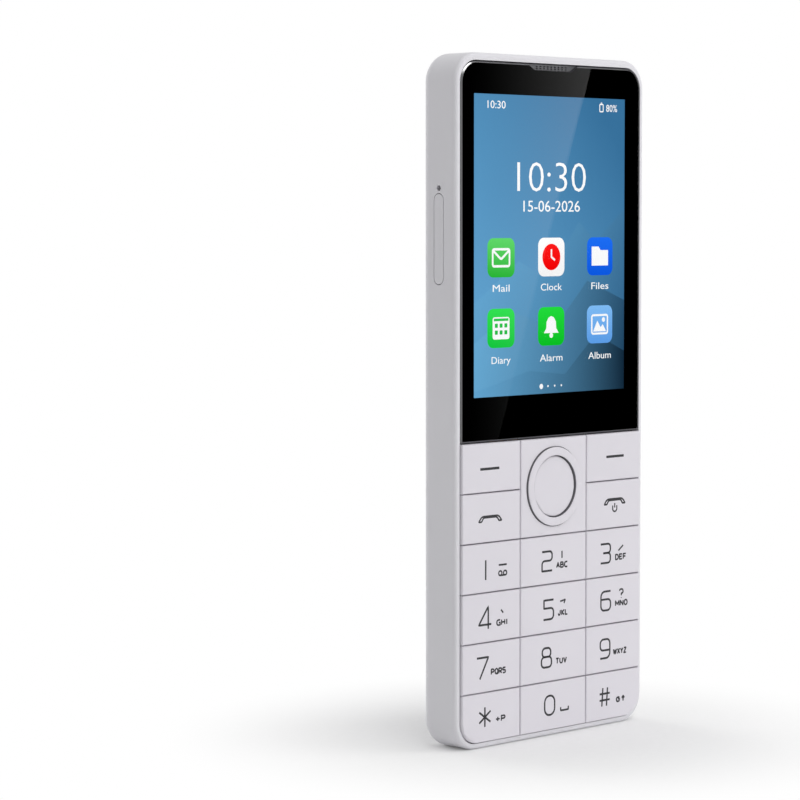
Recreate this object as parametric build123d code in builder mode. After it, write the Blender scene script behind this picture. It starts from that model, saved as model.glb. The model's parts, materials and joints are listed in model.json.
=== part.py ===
# Bar phone with a keypad, built as separate parts in one frame.
# Millimetres. +X is right seen from the front, the front faces -Y and +Z is up.
# The origin is the middle of the bottom end. "Depth" is the distance behind the housing's front plane.
import os
from build123d import *

os.makedirs("parts", exist_ok=True)

# Body
phone_width = 53.2
phone_height = 131.0
body_depth = 9.35
glass_proud = 0.15
corner_radius = 5.5
front_round = 0.8
back_round = 2.6
back_wall = 1.0

# Front opening and the fine gaps in it
side_rim = 1.15
top_rim = 1.42
bottom_rim = 1.07
opening_radius = 4.3
seam = 0.2

# Display and its glass
display_border = 5.265
display_drop = 7.6
display_height = 56.9
glass_chin = 8.37
glass_thickness = 0.9
glass_bevel = 0.3
gasket_thickness = 0.15
gasket_inset = 0.05
panel_thickness = 0.8
backlight_thickness = 1.05
shield_thickness = 0.25
panel_margin = 1.7
panel_side = 1.35
notch_top = 14.5
notch_bottom = 10.6
notch_height = 1.2
mesh_thickness = 0.3
mesh_gap = 0.06
mesh_columns = 9
receiver_margin = 0.7
receiver_gap = 0.5
sound_depth = 0.8

# Keypad
centre_column = 18.76
key_proud = 0.55
cap_thickness = 1.65
cap_edge = 0.2
key_travel = 0.35
travel_spare = 0.05
plunger_share = 0.4
plunger_gap = 0.2
web_sheet = 0.3
web_drop = 0.6
rib_width = 0.8
dome_radius = 1.5
dome_height = 0.25
dome_taper = 60
dome_sides = 8
film_thickness = 0.08
key_board_thickness = 0.5

# Navigation tile
nav_margin = 1.68
nav_ring_width = 1.75
nav_ring_rise = 0.4
nav_ring_edge = 0.1
nav_groove = 0.2
nav_groove_sink = 0.35
ok_gap = 0.15
ok_thickness = 1.25
rocker_inset = 0.9
rocker_sides = 24
rocker_gap = 0.25
rocker_room = 0.4
rocker_thickness = 0.5
rocker_foot_radius = 0.8
rocker_foot_height = 0.15
rocker_foot_inset = 0.4
rocker_bore_gap = 0.8

# Mid frame
frame_gap = 0.12
frame_wall = 1.0
frame_back = 5.6
web_thickness = 0.6
part_gap = 0.1
pocket_gap = 0.2

# SIM tray and its ejector
tray_drop = 34.75
tray_depth = 4.4
tray_thickness = 1.3
tray_width = 14.6
tray_length = 22.65
tray_play = 0.15
door_lip = 1.125
door_width = 2.3
door_gap = 0.15
card_side = 1.1
card_depth = 0.8
card_ledge = 0.7
card_wall = 0.8
pin_rise = 1.08
pin_radius = 0.55
rod_radius = 0.4
rod_gap = 0.2
rod_setback = 0.5
lever_gap = 1.9
lever_width = 1.2
lever_thickness = 0.8
lever_pivot_drop = 5.15
lever_nose = 6.1
lever_eye = 1.1
pivot_radius = 0.45
pivot_gap = 0.15
reader_sheet = 0.1
reader_wall = 0.3
reader_tail = 2.3

# Boards, flexes and battery
board_stand_off = 2.4
board_thickness = 0.8
board_gap = 0.25
board_corner = 3.0
can_height = 1.6
back_can_height = 1.1
can_margin = 1.5
can_corner = 0.5
motor_radius = 4.0
motor_sides = 24
antenna_height = 8.0
antenna_rise = 1.0
antenna_hollow = 2.0
antenna_gap = 0.25
flex_thickness = 0.15
flex_width = 8.0
flex_inset = 9.5
link_width = 6.0
display_flex_width = 12.0
display_fold_drop = 1.3
key_fold_rise = 3.2
connector_inset = 0.5
connector_length = 3.0
connector_height = 0.4
battery_side = 4.3
battery_room = 12.4
battery_rise = 0.4
battery_thickness = 4.1
battery_corner = 1.2
tape_inset = 6.0
tape_thickness = 0.1

# Screws
screw_radius = 0.46
screw_head = 1.2
screw_head_height = 0.5
screw_hole_gap = 0.25
screw_sides = 8
thread_gap = 0.04
boss_radius = 1.7
boss_sides = 12
board_screw_inset = 2.1
frame_screw_inset = 2.8
frame_screw_rise = 4.2
frame_screw_low = 4.8

# Bottom end
port_depth = 4.85
port_width = 8.94
port_height = 3.26
port_length = 7.3
port_sheet = 0.3
port_gap = 0.15
port_sink = 0.1
tongue_width = 6.69
tongue_thickness = 0.7
tongue_sink = 0.8
bottom_board_thickness = 0.6
bottom_board_corner = 0.8
speaker_gap = 4.4
speaker_inset = 0.4
speaker_hole_radius = 0.6
speaker_hole_pitch = 2.1
speaker_mesh_thickness = 0.25
microphone_width = 3.8
microphone_length = 3.0
microphone_height = 1.1
microphone_hole = 0.5
post_inset = 3.7
post_drop = 4.0

# Widths, from the middle out
half_width = phone_width / 2
opening_half = half_width - side_rim
inner_half = opening_half - frame_gap - frame_wall
stack_half = inner_half - part_gap
board_half = inner_half - board_gap
display_width = phone_width - 2 * display_border
panel_half = display_width / 2 + panel_side
field_half = opening_half - seam / 2
columns = [-field_half, -centre_column / 2, centre_column / 2, field_half]
battery_half = opening_half - battery_side

# Heights, from the top down
opening_top = phone_height - top_rim
opening_height = opening_top - bottom_rim
opening_mid = (opening_top + bottom_rim) / 2
inner_top = opening_top - frame_gap - frame_wall
glass_top = opening_top - seam
display_top = phone_height - display_drop
display_bottom = display_top - display_height
display_mid = (display_top + display_bottom) / 2
panel_top = display_top + panel_margin
panel_bottom = display_bottom - panel_margin
glass_bottom = display_bottom - glass_chin
keypad_top = glass_bottom - seam / 2
keypad_bottom = bottom_rim + seam / 2
row_pitch = (keypad_top - keypad_bottom) / 6
rows = [keypad_top - row_pitch * i for i in range(7)]
web_high = keypad_top - web_drop
web_low = bottom_rim + frame_gap + frame_wall + part_gap
board_top = inner_top - board_gap
board_bottom = panel_bottom - pocket_gap
battery_top = keypad_top + battery_rise
battery_bottom = bottom_rim + battery_room

# Depths, from the housing's front plane back
front_y = (max(glass_proud, key_proud + nav_ring_rise) - body_depth) / 2
cap_back = cap_thickness - key_proud
ok_back = ok_thickness - key_proud
ring_front = -key_proud - nav_ring_rise
groove_floor = nav_groove_sink - key_proud
glass_back = glass_thickness - glass_proud
shelf = glass_back + gasket_thickness
panel_back = shelf + panel_thickness
backlight_back = panel_back + backlight_thickness
web_front = backlight_back + shield_thickness
web_back = web_front + web_thickness
key_board_front = web_front - key_board_thickness
film_front = key_board_front - film_thickness
plunger_back = key_board_front - dome_height - key_travel - travel_spare
sheet_front = cap_back + key_travel + travel_spare + part_gap
sheet_back = sheet_front + web_sheet
board_front = web_back + board_stand_off
board_back = board_front + board_thickness
inner_back = body_depth - back_wall
battery_front = web_back + tape_thickness
battery_back = battery_front + battery_thickness
bottom_board_front = port_depth + port_height / 2
bottom_board_back = bottom_board_front + bottom_board_thickness
floor_chamfer = back_round - back_wall
stack_corner = opening_radius - frame_gap - frame_wall - part_gap

# Navigation tile
nav_z = rows[1]
nav_half = min(centre_column / 2, row_pitch) - seam / 2
nav_ring_radius = nav_half - nav_margin
ok_radius = nav_ring_radius - nav_ring_width
rocker_radius = nav_half - rocker_inset
rocker_front = cap_back + rocker_gap
rocker_back = rocker_front + rocker_thickness
foot_circle = rocker_radius - rocker_foot_inset - rocker_foot_radius
rocker_feet = [
    (foot_circle, nav_z),
    (-foot_circle, nav_z),
    (0, nav_z + foot_circle),
    (0, nav_z - foot_circle),
]

# SIM tray and its ejector
tray_z = phone_height - tray_drop
tray_low = tray_z - tray_width / 2
tray_high = tray_z + tray_width / 2
tray_tail_x = tray_length - opening_half
reader_front = web_back + part_gap / 2
tray_front = reader_front + reader_sheet + part_gap
tray_back = tray_front + tray_thickness
tray_mid = (tray_front + tray_back) / 2
door_length = tray_width + 2 * door_lip
card_length = (tray_length - 3 * card_wall) / 2
card_low = tray_low + card_side
card_high = tray_high - card_side
pin_z = tray_z + door_length / 2 + pin_rise
pivot_z = pin_z - lever_pivot_drop
lever_x = tray_tail_x + lever_gap + lever_width / 2
lever_front = tray_mid - lever_thickness / 2
lever_back = tray_mid + lever_thickness / 2
reader_left = -inner_half + 2 * part_gap
reader_end = tray_tail_x - pocket_gap
reader_right = lever_x + reader_tail
reader_low = tray_low - tray_play - reader_wall
reader_high = pin_z + rod_radius + rod_gap + reader_wall

# Screws, flexes and the bottom end
board_screw_x = board_half - board_screw_inset
board_screw_z = [board_top - board_screw_inset, board_bottom + board_screw_inset]
board_screws_at = [(x, z) for x in (-board_screw_x, board_screw_x) for z in board_screw_z]
frame_screw_x = inner_half - frame_screw_inset
frame_screw_z = [keypad_top + frame_screw_rise, bottom_rim + frame_screw_low]
frame_screws_at = [(x, z) for x in (-frame_screw_x, frame_screw_x) for z in frame_screw_z]
upper_screws = [(-frame_screw_x, frame_screw_z[0]), (frame_screw_x, frame_screw_z[0])]
lower_screws = [(-frame_screw_x, frame_screw_z[1]), (frame_screw_x, frame_screw_z[1])]
display_fold = panel_bottom - display_fold_drop
key_fold = keypad_top + key_fold_rise
key_flex_left = -board_half + flex_inset
key_flex_right = key_flex_left + flex_width
connector_high = board_bottom + connector_inset + connector_length
bottom_board_half = frame_screw_x - boss_radius - connector_inset
bottom_board_low = web_low + part_gap
bottom_board_high = battery_bottom - board_thickness
speaker_left = port_width / 2 + speaker_gap
speaker_right = bottom_board_half - speaker_inset
speaker_x = (speaker_left + speaker_right) / 2
speaker_holes = int((speaker_right - speaker_left) / speaker_hole_pitch)
post_z = battery_bottom - post_drop
left_post_x = -bottom_board_half + post_inset
right_post_x = (port_width / 2 + speaker_left) / 2
posts_at = [(left_post_x, post_z), (right_post_x, post_z)]
microphone_x = (left_post_x - port_width / 2) / 2


def at(depth):
    """Plane that faces the front, at a depth behind the housing's front plane."""
    return Plane.XZ.offset(-(front_y + depth))


def opening_outline(inset, mode=Mode.ADD):
    """The front opening's outline, made smaller all round by inset."""
    with Locations((0, opening_mid)):
        RectangleRounded(
            2 * (opening_half - inset),
            opening_height - 2 * inset,
            opening_radius - inset,
            mode=mode,
        )


def above_keypad(lift):
    """Keep only what lies above the glass's bottom edge, raised by lift."""
    with Locations((0, glass_bottom + lift + phone_height / 2)):
        Rectangle(phone_width, phone_height, mode=Mode.INTERSECT)


def notch_outline(inset):
    """Trapezoid of the earpiece notch, open to the glass's top edge."""
    low = glass_top - notch_height + inset
    Polygon(
        (-notch_top / 2 + inset, glass_top),
        (-notch_bottom / 2 + inset, low),
        (notch_bottom / 2 - inset, low),
        (notch_top / 2 - inset, glass_top),
    )


def block(x0, x1, z0, z1, d0, d1, radius=0, cut=0, mode=Mode.ADD):
    """Block between two x, two heights and two depths, its corners rounded or cut if asked."""
    with BuildSketch(at(d0)) as shape:
        with Locations(((x0 + x1) / 2, (z0 + z1) / 2)):
            if radius > 0:
                RectangleRounded(x1 - x0, z1 - z0, radius)
            else:
                Rectangle(x1 - x0, z1 - z0)
        if cut > 0:
            chamfer(shape.vertices(), cut)
    extrude(shape.sketch, amount=d0 - d1, mode=mode)


def posts(spots, radius, d0, d1, sides=0, mode=Mode.ADD):
    """Posts or holes along the depth, round or with flat sides."""
    with BuildSketch(at(d0)) as shape:
        with Locations(*spots):
            if sides:
                RegularPolygon(radius, sides)
            else:
                Circle(radius)
    extrude(shape.sketch, amount=d0 - d1, mode=mode)


def drill(spots, radius, d0, d1, sides=boss_sides):
    """Flat-sided holes along the depth."""
    posts(spots, radius, d0, d1, sides=sides, mode=Mode.SUBTRACT)


def side_bar(z, depth, radius, x0, x1, mode=Mode.SUBTRACT):
    """Round hole or rod along x."""
    with BuildSketch(Plane.YZ.offset(x0)) as shape:
        with Locations((front_y + depth, z)):
            Circle(radius)
    extrude(shape.sketch, amount=x1 - x0, mode=mode)


def end_hole(x, radius):
    """Round hole through the housing's bottom end."""
    with BuildSketch(Plane.XY) as shape:
        with Locations((x, front_y + port_depth)):
            Circle(radius)
    extrude(shape.sketch, amount=bottom_rim, mode=Mode.SUBTRACT)


def screws(spots, seat, head, tip):
    """Screws whose heads rise from the seat by head and whose shanks run from the seat to tip."""
    posts(spots, screw_head, seat, seat + head, sides=screw_sides)
    posts(spots, screw_radius, seat, tip, sides=screw_sides)


def save(builder, name):
    """Label a finished part and write its STEP file."""
    builder.part.label = name
    export_step(builder.part, "parts/" + name + ".step")


# Housing: sides and back in one moulded tray
with BuildPart() as housing:
    with BuildSketch(at(0)):
        with Locations((0, phone_height / 2)):
            RectangleRounded(phone_width, phone_height, corner_radius)
    extrude(amount=-body_depth)
    fillet(housing.faces().sort_by(Axis.Y)[0].edges(), front_round)
    fillet(housing.faces().sort_by(Axis.Y)[-1].edges(), back_round)
    with BuildSketch(at(0)):
        opening_outline(0)
    extrude(amount=-inner_back, mode=Mode.SUBTRACT)
    inner_floor = housing.faces().filter_by(Plane.XZ).sort_by(Axis.Y)[-2]
    chamfer(inner_floor.edges(), floor_chamfer)
    # Bosses for the frame screws and posts for the bottom board
    posts(frame_screws_at, boss_radius, web_back, inner_back, sides=boss_sides)
    drill(frame_screws_at, screw_radius + thread_gap, web_back, inner_back - back_wall, sides=screw_sides)
    posts(posts_at, boss_radius, bottom_board_back, inner_back, sides=boss_sides)
    drill(posts_at, screw_radius + thread_gap, bottom_board_back, inner_back, sides=screw_sides)
    # SIM slot and eject hole in the left side
    with BuildSketch(Plane.YZ.offset(-half_width)):
        with Locations((front_y + tray_depth, tray_z)):
            SlotOverall(door_length + 2 * door_gap, door_width + 2 * door_gap, rotation=90)
    extrude(amount=side_rim, mode=Mode.SUBTRACT)
    side_bar(pin_z, tray_depth, pin_radius, -half_width, -opening_half)
    # Bottom end: charging port, microphone and loudspeaker
    with BuildSketch(Plane.XY):
        with Locations((0, front_y + port_depth)):
            SlotOverall(port_width + 2 * port_gap, port_height + 2 * port_gap)
    extrude(amount=bottom_rim, mode=Mode.SUBTRACT)
    end_hole(microphone_x, microphone_hole)
    for i in range(speaker_holes):
        step = i - (speaker_holes - 1) / 2
        end_hole(speaker_x + step * speaker_hole_pitch, speaker_hole_radius)
save(housing, "housing")

# Mid frame: carries the glass, display and keypad in front, the boards behind
pocket_half = panel_half + pocket_gap
pocket_low = panel_bottom - pocket_gap
pocket_high = panel_top + pocket_gap
receiver_half = notch_bottom / 2 + receiver_margin
receiver_low = panel_top + receiver_gap
sound_half = notch_bottom / 2 - receiver_margin
sound_high = glass_top - notch_height / 2
with BuildPart() as mid_frame:
    with BuildSketch(at(sheet_front)):
        opening_outline(frame_gap)
        opening_outline(frame_gap + frame_wall, mode=Mode.SUBTRACT)
    extrude(amount=sheet_front - frame_back)
    with BuildSketch(at(web_front)):
        opening_outline(frame_gap + frame_wall / 2)
    extrude(amount=-web_thickness)
    with BuildSketch(at(shelf)):
        opening_outline(frame_gap)
        above_keypad(0)
    extrude(amount=shelf - web_front)
    # Pockets for the display and the receiver, and the way for the sound
    block(
        -pocket_half,
        pocket_half,
        pocket_low,
        pocket_high,
        shelf,
        web_front,
        mode=Mode.SUBTRACT,
    )
    block(
        -receiver_half,
        receiver_half,
        receiver_low,
        inner_top,
        shelf,
        web_front,
        mode=Mode.SUBTRACT,
    )
    block(
        -sound_half,
        sound_half,
        inner_top,
        sound_high,
        shelf,
        shelf + sound_depth,
        mode=Mode.SUBTRACT,
    )
    # Slots for the display flex and the key flex
    block(
        -pocket_gap,
        display_flex_width + pocket_gap,
        display_fold - pocket_gap,
        pocket_low,
        panel_back - pocket_gap,
        web_back,
        mode=Mode.SUBTRACT,
    )
    block(
        key_flex_left - pocket_gap,
        key_flex_right + pocket_gap,
        web_high,
        key_fold + flex_thickness + pocket_gap,
        key_board_front,
        web_back,
        mode=Mode.SUBTRACT,
    )
    # Screw holes, and the bosses for the main board
    drill(frame_screws_at, screw_head + pocket_gap, shelf, web_front)
    drill(frame_screws_at, screw_radius + screw_hole_gap, web_front, web_back)
    posts(board_screws_at, boss_radius, web_back, board_front, sides=boss_sides)
    pilot_front = web_back + web_thickness
    drill(board_screws_at, screw_radius + thread_gap, pilot_front, board_front, sides=screw_sides)
    # Ways through for the tray, the eject rod, the port and the sound
    block(
        -half_width,
        reader_left,
        tray_low - pocket_gap,
        tray_high + pocket_gap,
        tray_front - part_gap,
        frame_back,
        mode=Mode.SUBTRACT,
    )
    side_bar(pin_z, tray_depth, rod_radius + rod_gap, -half_width, reader_left)
    block(
        -port_width / 2 - pocket_gap,
        port_width / 2 + pocket_gap,
        0,
        port_sink + port_length + pocket_gap,
        web_front,
        frame_back,
        mode=Mode.SUBTRACT,
    )
    block(
        speaker_left,
        speaker_right,
        0,
        web_low,
        web_back + part_gap,
        frame_back,
        mode=Mode.SUBTRACT,
    )
    block(
        microphone_x - 2 * microphone_hole,
        microphone_x + 2 * microphone_hole,
        0,
        web_low,
        port_depth - 2 * microphone_hole,
        frame_back,
        mode=Mode.SUBTRACT,
    )
save(mid_frame, "mid_frame")

# Cover glass with a bevelled front edge and the earpiece notch
with BuildPart() as cover_glass:
    with BuildSketch(at(-glass_proud)):
        opening_outline(seam)
        above_keypad(0)
    extrude(amount=-glass_thickness)
    chamfer(cover_glass.faces().sort_by(Axis.Y)[0].edges(), glass_bevel)
    with BuildSketch(at(-glass_proud)) as notch:
        notch_outline(0)
    extrude(notch.sketch, amount=-glass_thickness, mode=Mode.SUBTRACT)
save(cover_glass, "cover_glass")

# Black gasket between the glass and the frame, with a window for the picture
with BuildPart() as display_gasket:
    with BuildSketch(at(glass_back)):
        opening_outline(seam + gasket_inset)
        above_keypad(gasket_inset)
        with Locations((0, display_mid)):
            Rectangle(display_width, display_height, mode=Mode.SUBTRACT)
        with Locations((0, sound_high)):
            Rectangle(2 * sound_half, notch_height / 2, mode=Mode.SUBTRACT)
    extrude(amount=-gasket_thickness)
save(display_gasket, "display_gasket")

# Earpiece mesh in the notch
mesh_pitch = 2 * sound_half / mesh_columns
mesh_row = notch_height / 3
with BuildPart() as earpiece_mesh:
    with BuildSketch(at(glass_back - mesh_thickness)) as sheet:
        notch_outline(mesh_gap)
    extrude(sheet.sketch, amount=-mesh_thickness)
    with BuildSketch(at(glass_back - mesh_thickness)) as pores:
        with Locations((0, sound_high)):
            with GridLocations(mesh_pitch, mesh_row, mesh_columns, 2):
                Rectangle(mesh_pitch / 2, mesh_row / 2)
    extrude(pores.sketch, amount=-mesh_thickness, mode=Mode.SUBTRACT)
save(earpiece_mesh, "earpiece_mesh")

# Display stack behind the glass
with BuildPart() as display_panel:
    block(-panel_half, panel_half, panel_bottom, panel_top, shelf, panel_back)
save(display_panel, "display_panel")

with BuildPart() as backlight_unit:
    block(-panel_half, panel_half, panel_bottom, panel_top, panel_back, backlight_back)
save(backlight_unit, "backlight_unit")

with BuildPart() as display_shield:
    block(-panel_half, panel_half, panel_bottom, panel_top, backlight_back, web_front)
save(display_shield, "display_shield")


def folded_flex(x0, x1, start, fold, depth):
    """Flex from the front stack, back through the frame and up to a connector on the main board."""
    foot = board_front - connector_height
    block(x0, x1, min(start, fold), max(start, fold + flex_thickness), depth, depth + flex_thickness)
    block(x0, x1, fold, fold + flex_thickness, depth, foot)
    block(x0, x1, fold, connector_high, foot - flex_thickness, foot)
    block(
        x0 + connector_inset,
        x1 - connector_inset,
        connector_high - connector_length,
        connector_high,
        foot,
        board_front,
    )


with BuildPart() as display_flex:
    folded_flex(0, display_flex_width, panel_bottom, display_fold, panel_back)
save(display_flex, "display_flex")

with BuildPart() as earpiece_receiver:
    block(
        -receiver_half + part_gap,
        receiver_half - part_gap,
        receiver_low + part_gap,
        inner_top - part_gap,
        shelf + part_gap,
        web_front,
    )
    block(
        -sound_half,
        sound_half,
        receiver_low + receiver_gap,
        inner_top - receiver_gap,
        shelf + part_gap,
        shelf + part_gap + pocket_gap,
        mode=Mode.SUBTRACT,
    )
save(earpiece_receiver, "earpiece_receiver")


def key_cell(column, row):
    """A key's middle, and the cap's width and height inside its seams."""
    mid_x = (columns[column] + columns[column + 1]) / 2
    mid_z = (rows[row] + rows[row + 1]) / 2
    wide = columns[column + 1] - columns[column] - seam
    return mid_x, mid_z, wide, row_pitch - seam


def key_cap(name, column, row):
    """One key: a hard cap with a plunger behind it."""
    mid_x, mid_z, wide, tall = key_cell(column, row)
    reach_x = wide * plunger_share / 2
    reach_z = tall * plunger_share / 2
    with BuildPart() as cap:
        with BuildSketch(at(-key_proud)):
            opening_outline(seam)
            with Locations((mid_x, mid_z)):
                Rectangle(wide, tall, mode=Mode.INTERSECT)
        extrude(amount=-cap_thickness)
        chamfer(cap.faces().sort_by(Axis.Y)[0].edges(), cap_edge)
        block(
            mid_x - reach_x,
            mid_x + reach_x,
            mid_z - reach_z,
            mid_z + reach_z,
            cap_back,
            plunger_back,
        )
    save(cap, name)


key_rows = [
    ["left_soft_key", None, "right_soft_key"],
    ["call_key", None, "end_key"],
    ["key_1", "key_2", "key_3"],
    ["key_4", "key_5", "key_6"],
    ["key_7", "key_8", "key_9"],
    ["key_star", "key_0", "key_hash"],
]
key_cells = []
for row, names in enumerate(key_rows):
    for column, name in enumerate(names):
        if name:
            key_cap(name, column, row)
            key_cells.append(key_cell(column, row))

# Navigation tile with a raised ring in a fine groove
with BuildPart() as nav_pad:
    with BuildSketch(at(-key_proud)):
        with Locations((0, nav_z)):
            Rectangle(centre_column - seam, 2 * row_pitch - seam)
    extrude(amount=-cap_thickness)
    chamfer(nav_pad.faces().sort_by(Axis.Y)[0].edges(), cap_edge)
    posts([(0, nav_z)], nav_ring_radius + nav_groove, -key_proud, groove_floor, mode=Mode.SUBTRACT)
    posts([(0, nav_z)], nav_ring_radius, ring_front, groove_floor)
    posts([(0, nav_z)], ok_radius + ok_gap, ring_front, cap_back, mode=Mode.SUBTRACT)
    chamfer(nav_pad.faces().sort_by(Axis.Y)[0].edges(), nav_ring_edge)
save(nav_pad, "nav_pad")

with BuildPart() as ok_key:
    posts([(0, nav_z)], ok_radius, -key_proud, ok_back)
    chamfer(ok_key.faces().sort_by(Axis.Y)[0].edges(), cap_edge)
    posts([(0, nav_z)], dome_radius, ok_back, plunger_back, sides=boss_sides)
save(ok_key, "ok_key")

# Rocker under the tile, with one foot for each direction
with BuildPart() as nav_rocker:
    posts([(0, nav_z)], rocker_radius, rocker_front, rocker_back, sides=rocker_sides)
    drill([(0, nav_z)], dome_radius + rocker_bore_gap, rocker_front, rocker_back)
    posts(rocker_feet, rocker_foot_radius, rocker_back, rocker_back + rocker_foot_height, sides=dome_sides)
save(nav_rocker, "nav_rocker")

# Silicone web round the plungers, with ribs between the rows that stand on the dome film
with BuildPart() as key_web:
    block(-stack_half, stack_half, web_low, web_high, sheet_front, sheet_back, cut=stack_corner)
    for row_z in rows[1:6]:
        block(
            -stack_half,
            stack_half,
            row_z - rib_width / 2,
            row_z + rib_width / 2,
            sheet_back,
            film_front,
        )
    for mid_x, mid_z, wide, tall in key_cells:
        reach_x = wide * plunger_share / 2 + plunger_gap
        reach_z = tall * plunger_share / 2 + plunger_gap
        block(
            mid_x - reach_x,
            mid_x + reach_x,
            mid_z - reach_z,
            mid_z + reach_z,
            sheet_front,
            sheet_back,
            mode=Mode.SUBTRACT,
        )
    drill([(0, nav_z)], rocker_radius + rocker_room, sheet_front, film_front, sides=rocker_sides)
save(key_web, "key_web")

# Domes, the film that holds them and the key board
domes_at = [(mid_x, mid_z) for mid_x, mid_z, wide, tall in key_cells] + [(0, nav_z)] + rocker_feet
with BuildPart() as key_domes:
    with BuildSketch(at(key_board_front)):
        with Locations(*domes_at):
            RegularPolygon(dome_radius, dome_sides)
    extrude(amount=dome_height, taper=dome_taper)
save(key_domes, "key_domes")

with BuildPart() as dome_film:
    block(-stack_half, stack_half, web_low, web_high, film_front, key_board_front, cut=stack_corner)
    drill(domes_at, dome_radius + part_gap, film_front, key_board_front, sides=dome_sides)
    drill(lower_screws, screw_head + pocket_gap, film_front, key_board_front)
save(dome_film, "dome_film")

with BuildPart() as key_board:
    block(-stack_half, stack_half, web_low, web_high, key_board_front, web_front, cut=stack_corner)
    drill(lower_screws, screw_head + pocket_gap, key_board_front, web_front)
save(key_board, "key_board")

with BuildPart() as key_flex:
    folded_flex(key_flex_left, key_flex_right, web_high, key_fold, key_board_front + flex_thickness)
save(key_flex, "key_flex")

# SIM tray: door flush with the side, carrier with two card pockets
with BuildPart() as sim_tray:
    with BuildSketch(Plane.YZ.offset(-half_width)):
        with Locations((front_y + tray_depth, tray_z)):
            SlotOverall(door_length, door_width, rotation=90)
    extrude(amount=side_rim)
    block(-opening_half, tray_tail_x, tray_low, tray_high, tray_front, tray_back)
    for i in range(2):
        card_left = -opening_half + card_wall + i * (card_length + card_wall)
        block(
            card_left,
            card_left + card_length,
            card_low,
            card_high,
            tray_front,
            tray_front + card_depth,
            mode=Mode.SUBTRACT,
        )
        block(
            card_left + card_ledge,
            card_left + card_length - card_ledge,
            card_low + card_ledge,
            card_high - card_ledge,
            tray_front + card_depth,
            tray_back,
            mode=Mode.SUBTRACT,
        )
save(sim_tray, "sim_tray")

# SIM reader on the main board, with the guide for the eject rod and the lever's pivot
with BuildPart() as sim_reader:
    block(reader_left, reader_right, reader_low, reader_high, tray_back + tray_play, board_front)
    block(reader_left, reader_end, reader_low, reader_high, reader_front, reader_front + reader_sheet)
    for wall_low in (reader_low, tray_high + tray_play, reader_high - reader_wall):
        block(reader_left, reader_end, wall_low, wall_low + reader_wall, reader_front, board_front)
    posts([(lever_x, pivot_z)], pivot_radius, lever_front - part_gap, board_front, sides=boss_sides)
save(sim_reader, "sim_reader")

with BuildPart() as eject_rod:
    rod_end = lever_x - lever_width / 2 - rod_gap
    side_bar(pin_z, tray_depth, rod_radius, -opening_half + rod_setback, rod_end, mode=Mode.ADD)
save(eject_rod, "eject_rod")

with BuildPart() as eject_lever:
    block(
        lever_x - lever_width / 2,
        lever_x + lever_width / 2,
        pivot_z - lever_nose,
        pin_z + 2 * rod_radius,
        lever_front,
        lever_back,
    )
    posts([(lever_x, pivot_z)], lever_eye, lever_front, lever_back)
    posts([(lever_x, pivot_z)], pivot_radius + pivot_gap, lever_front, lever_back, mode=Mode.SUBTRACT)
save(eject_lever, "eject_lever")

# Main board and what sits on it
with BuildPart() as main_board:
    block(-board_half, board_half, board_bottom, board_top, board_front, board_back, radius=board_corner)
    drill(board_screws_at, screw_radius + screw_hole_gap, board_front, board_back, sides=screw_sides)
    drill(upper_screws, boss_radius + pocket_gap, board_front, board_back)
save(main_board, "main_board")

can_half = board_screw_x - boss_radius - can_margin
can_low = connector_high + can_margin
with BuildPart() as shield_cans:
    block(
        reader_right + can_margin,
        can_half,
        reader_low,
        reader_high,
        board_front - can_height,
        board_front,
        cut=can_corner,
    )
    block(
        -can_half,
        can_half,
        can_low,
        reader_low - can_margin,
        board_front - can_height,
        board_front,
        cut=can_corner,
    )
    block(
        -can_half,
        can_half,
        can_low,
        board_top - antenna_rise - antenna_height - can_margin,
        board_back,
        board_back + back_can_height,
        cut=can_corner,
    )
save(shield_cans, "shield_cans")

motor_x = can_half - motor_radius
motor_z = board_top - board_screw_inset - boss_radius - motor_radius
with BuildPart() as vibration_motor:
    posts([(motor_x, motor_z)], motor_radius, web_back + part_gap, board_front, sides=motor_sides)
save(vibration_motor, "vibration_motor")

antenna_top = board_top - antenna_rise
antenna_low = antenna_top - antenna_height
antenna_back = inner_back - antenna_gap
with BuildPart() as antenna_carrier:
    block(
        -can_half,
        can_half,
        antenna_low,
        antenna_top,
        board_back,
        antenna_back,
        cut=can_corner,
    )
    block(
        -can_half + antenna_hollow,
        can_half - antenna_hollow,
        antenna_low + antenna_hollow,
        antenna_top - antenna_hollow,
        board_back,
        (board_back + antenna_back) / 2,
        mode=Mode.SUBTRACT,
    )
save(antenna_carrier, "antenna_carrier")

with BuildPart() as board_screws:
    screws(board_screws_at, board_back, screw_head_height, board_front - can_height)
    screws(posts_at, bottom_board_front, -screw_head_height, inner_back - part_gap)
save(board_screws, "board_screws")

with BuildPart() as frame_screws:
    screws(frame_screws_at, web_front, -screw_head_height, inner_back - 2 * back_wall)
save(frame_screws, "frame_screws")

# Battery behind the keypad
with BuildPart() as battery_tape:
    block(
        -battery_half + tape_inset,
        battery_half - tape_inset,
        battery_bottom + tape_inset,
        battery_top - tape_inset,
        web_back,
        battery_front,
    )
save(battery_tape, "battery_tape")

with BuildPart() as battery:
    block(
        -battery_half,
        battery_half,
        battery_bottom,
        battery_top,
        battery_front,
        battery_back,
        radius=battery_corner,
    )
save(battery, "battery")


def back_connector(x0, x1, low, seat, strip):
    """Connector between a board's back and the flex strip behind it."""
    block(x0 + connector_inset, x1 - connector_inset, low, low + connector_length, seat, strip)


lead_front = board_back + connector_height
with BuildPart() as battery_lead:
    block(
        -flex_width / 2,
        flex_width / 2,
        battery_top,
        connector_high,
        lead_front,
        lead_front + flex_thickness,
    )
    back_connector(-flex_width / 2, flex_width / 2, board_bottom + connector_inset, board_back, lead_front)
save(battery_lead, "battery_lead")

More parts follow.
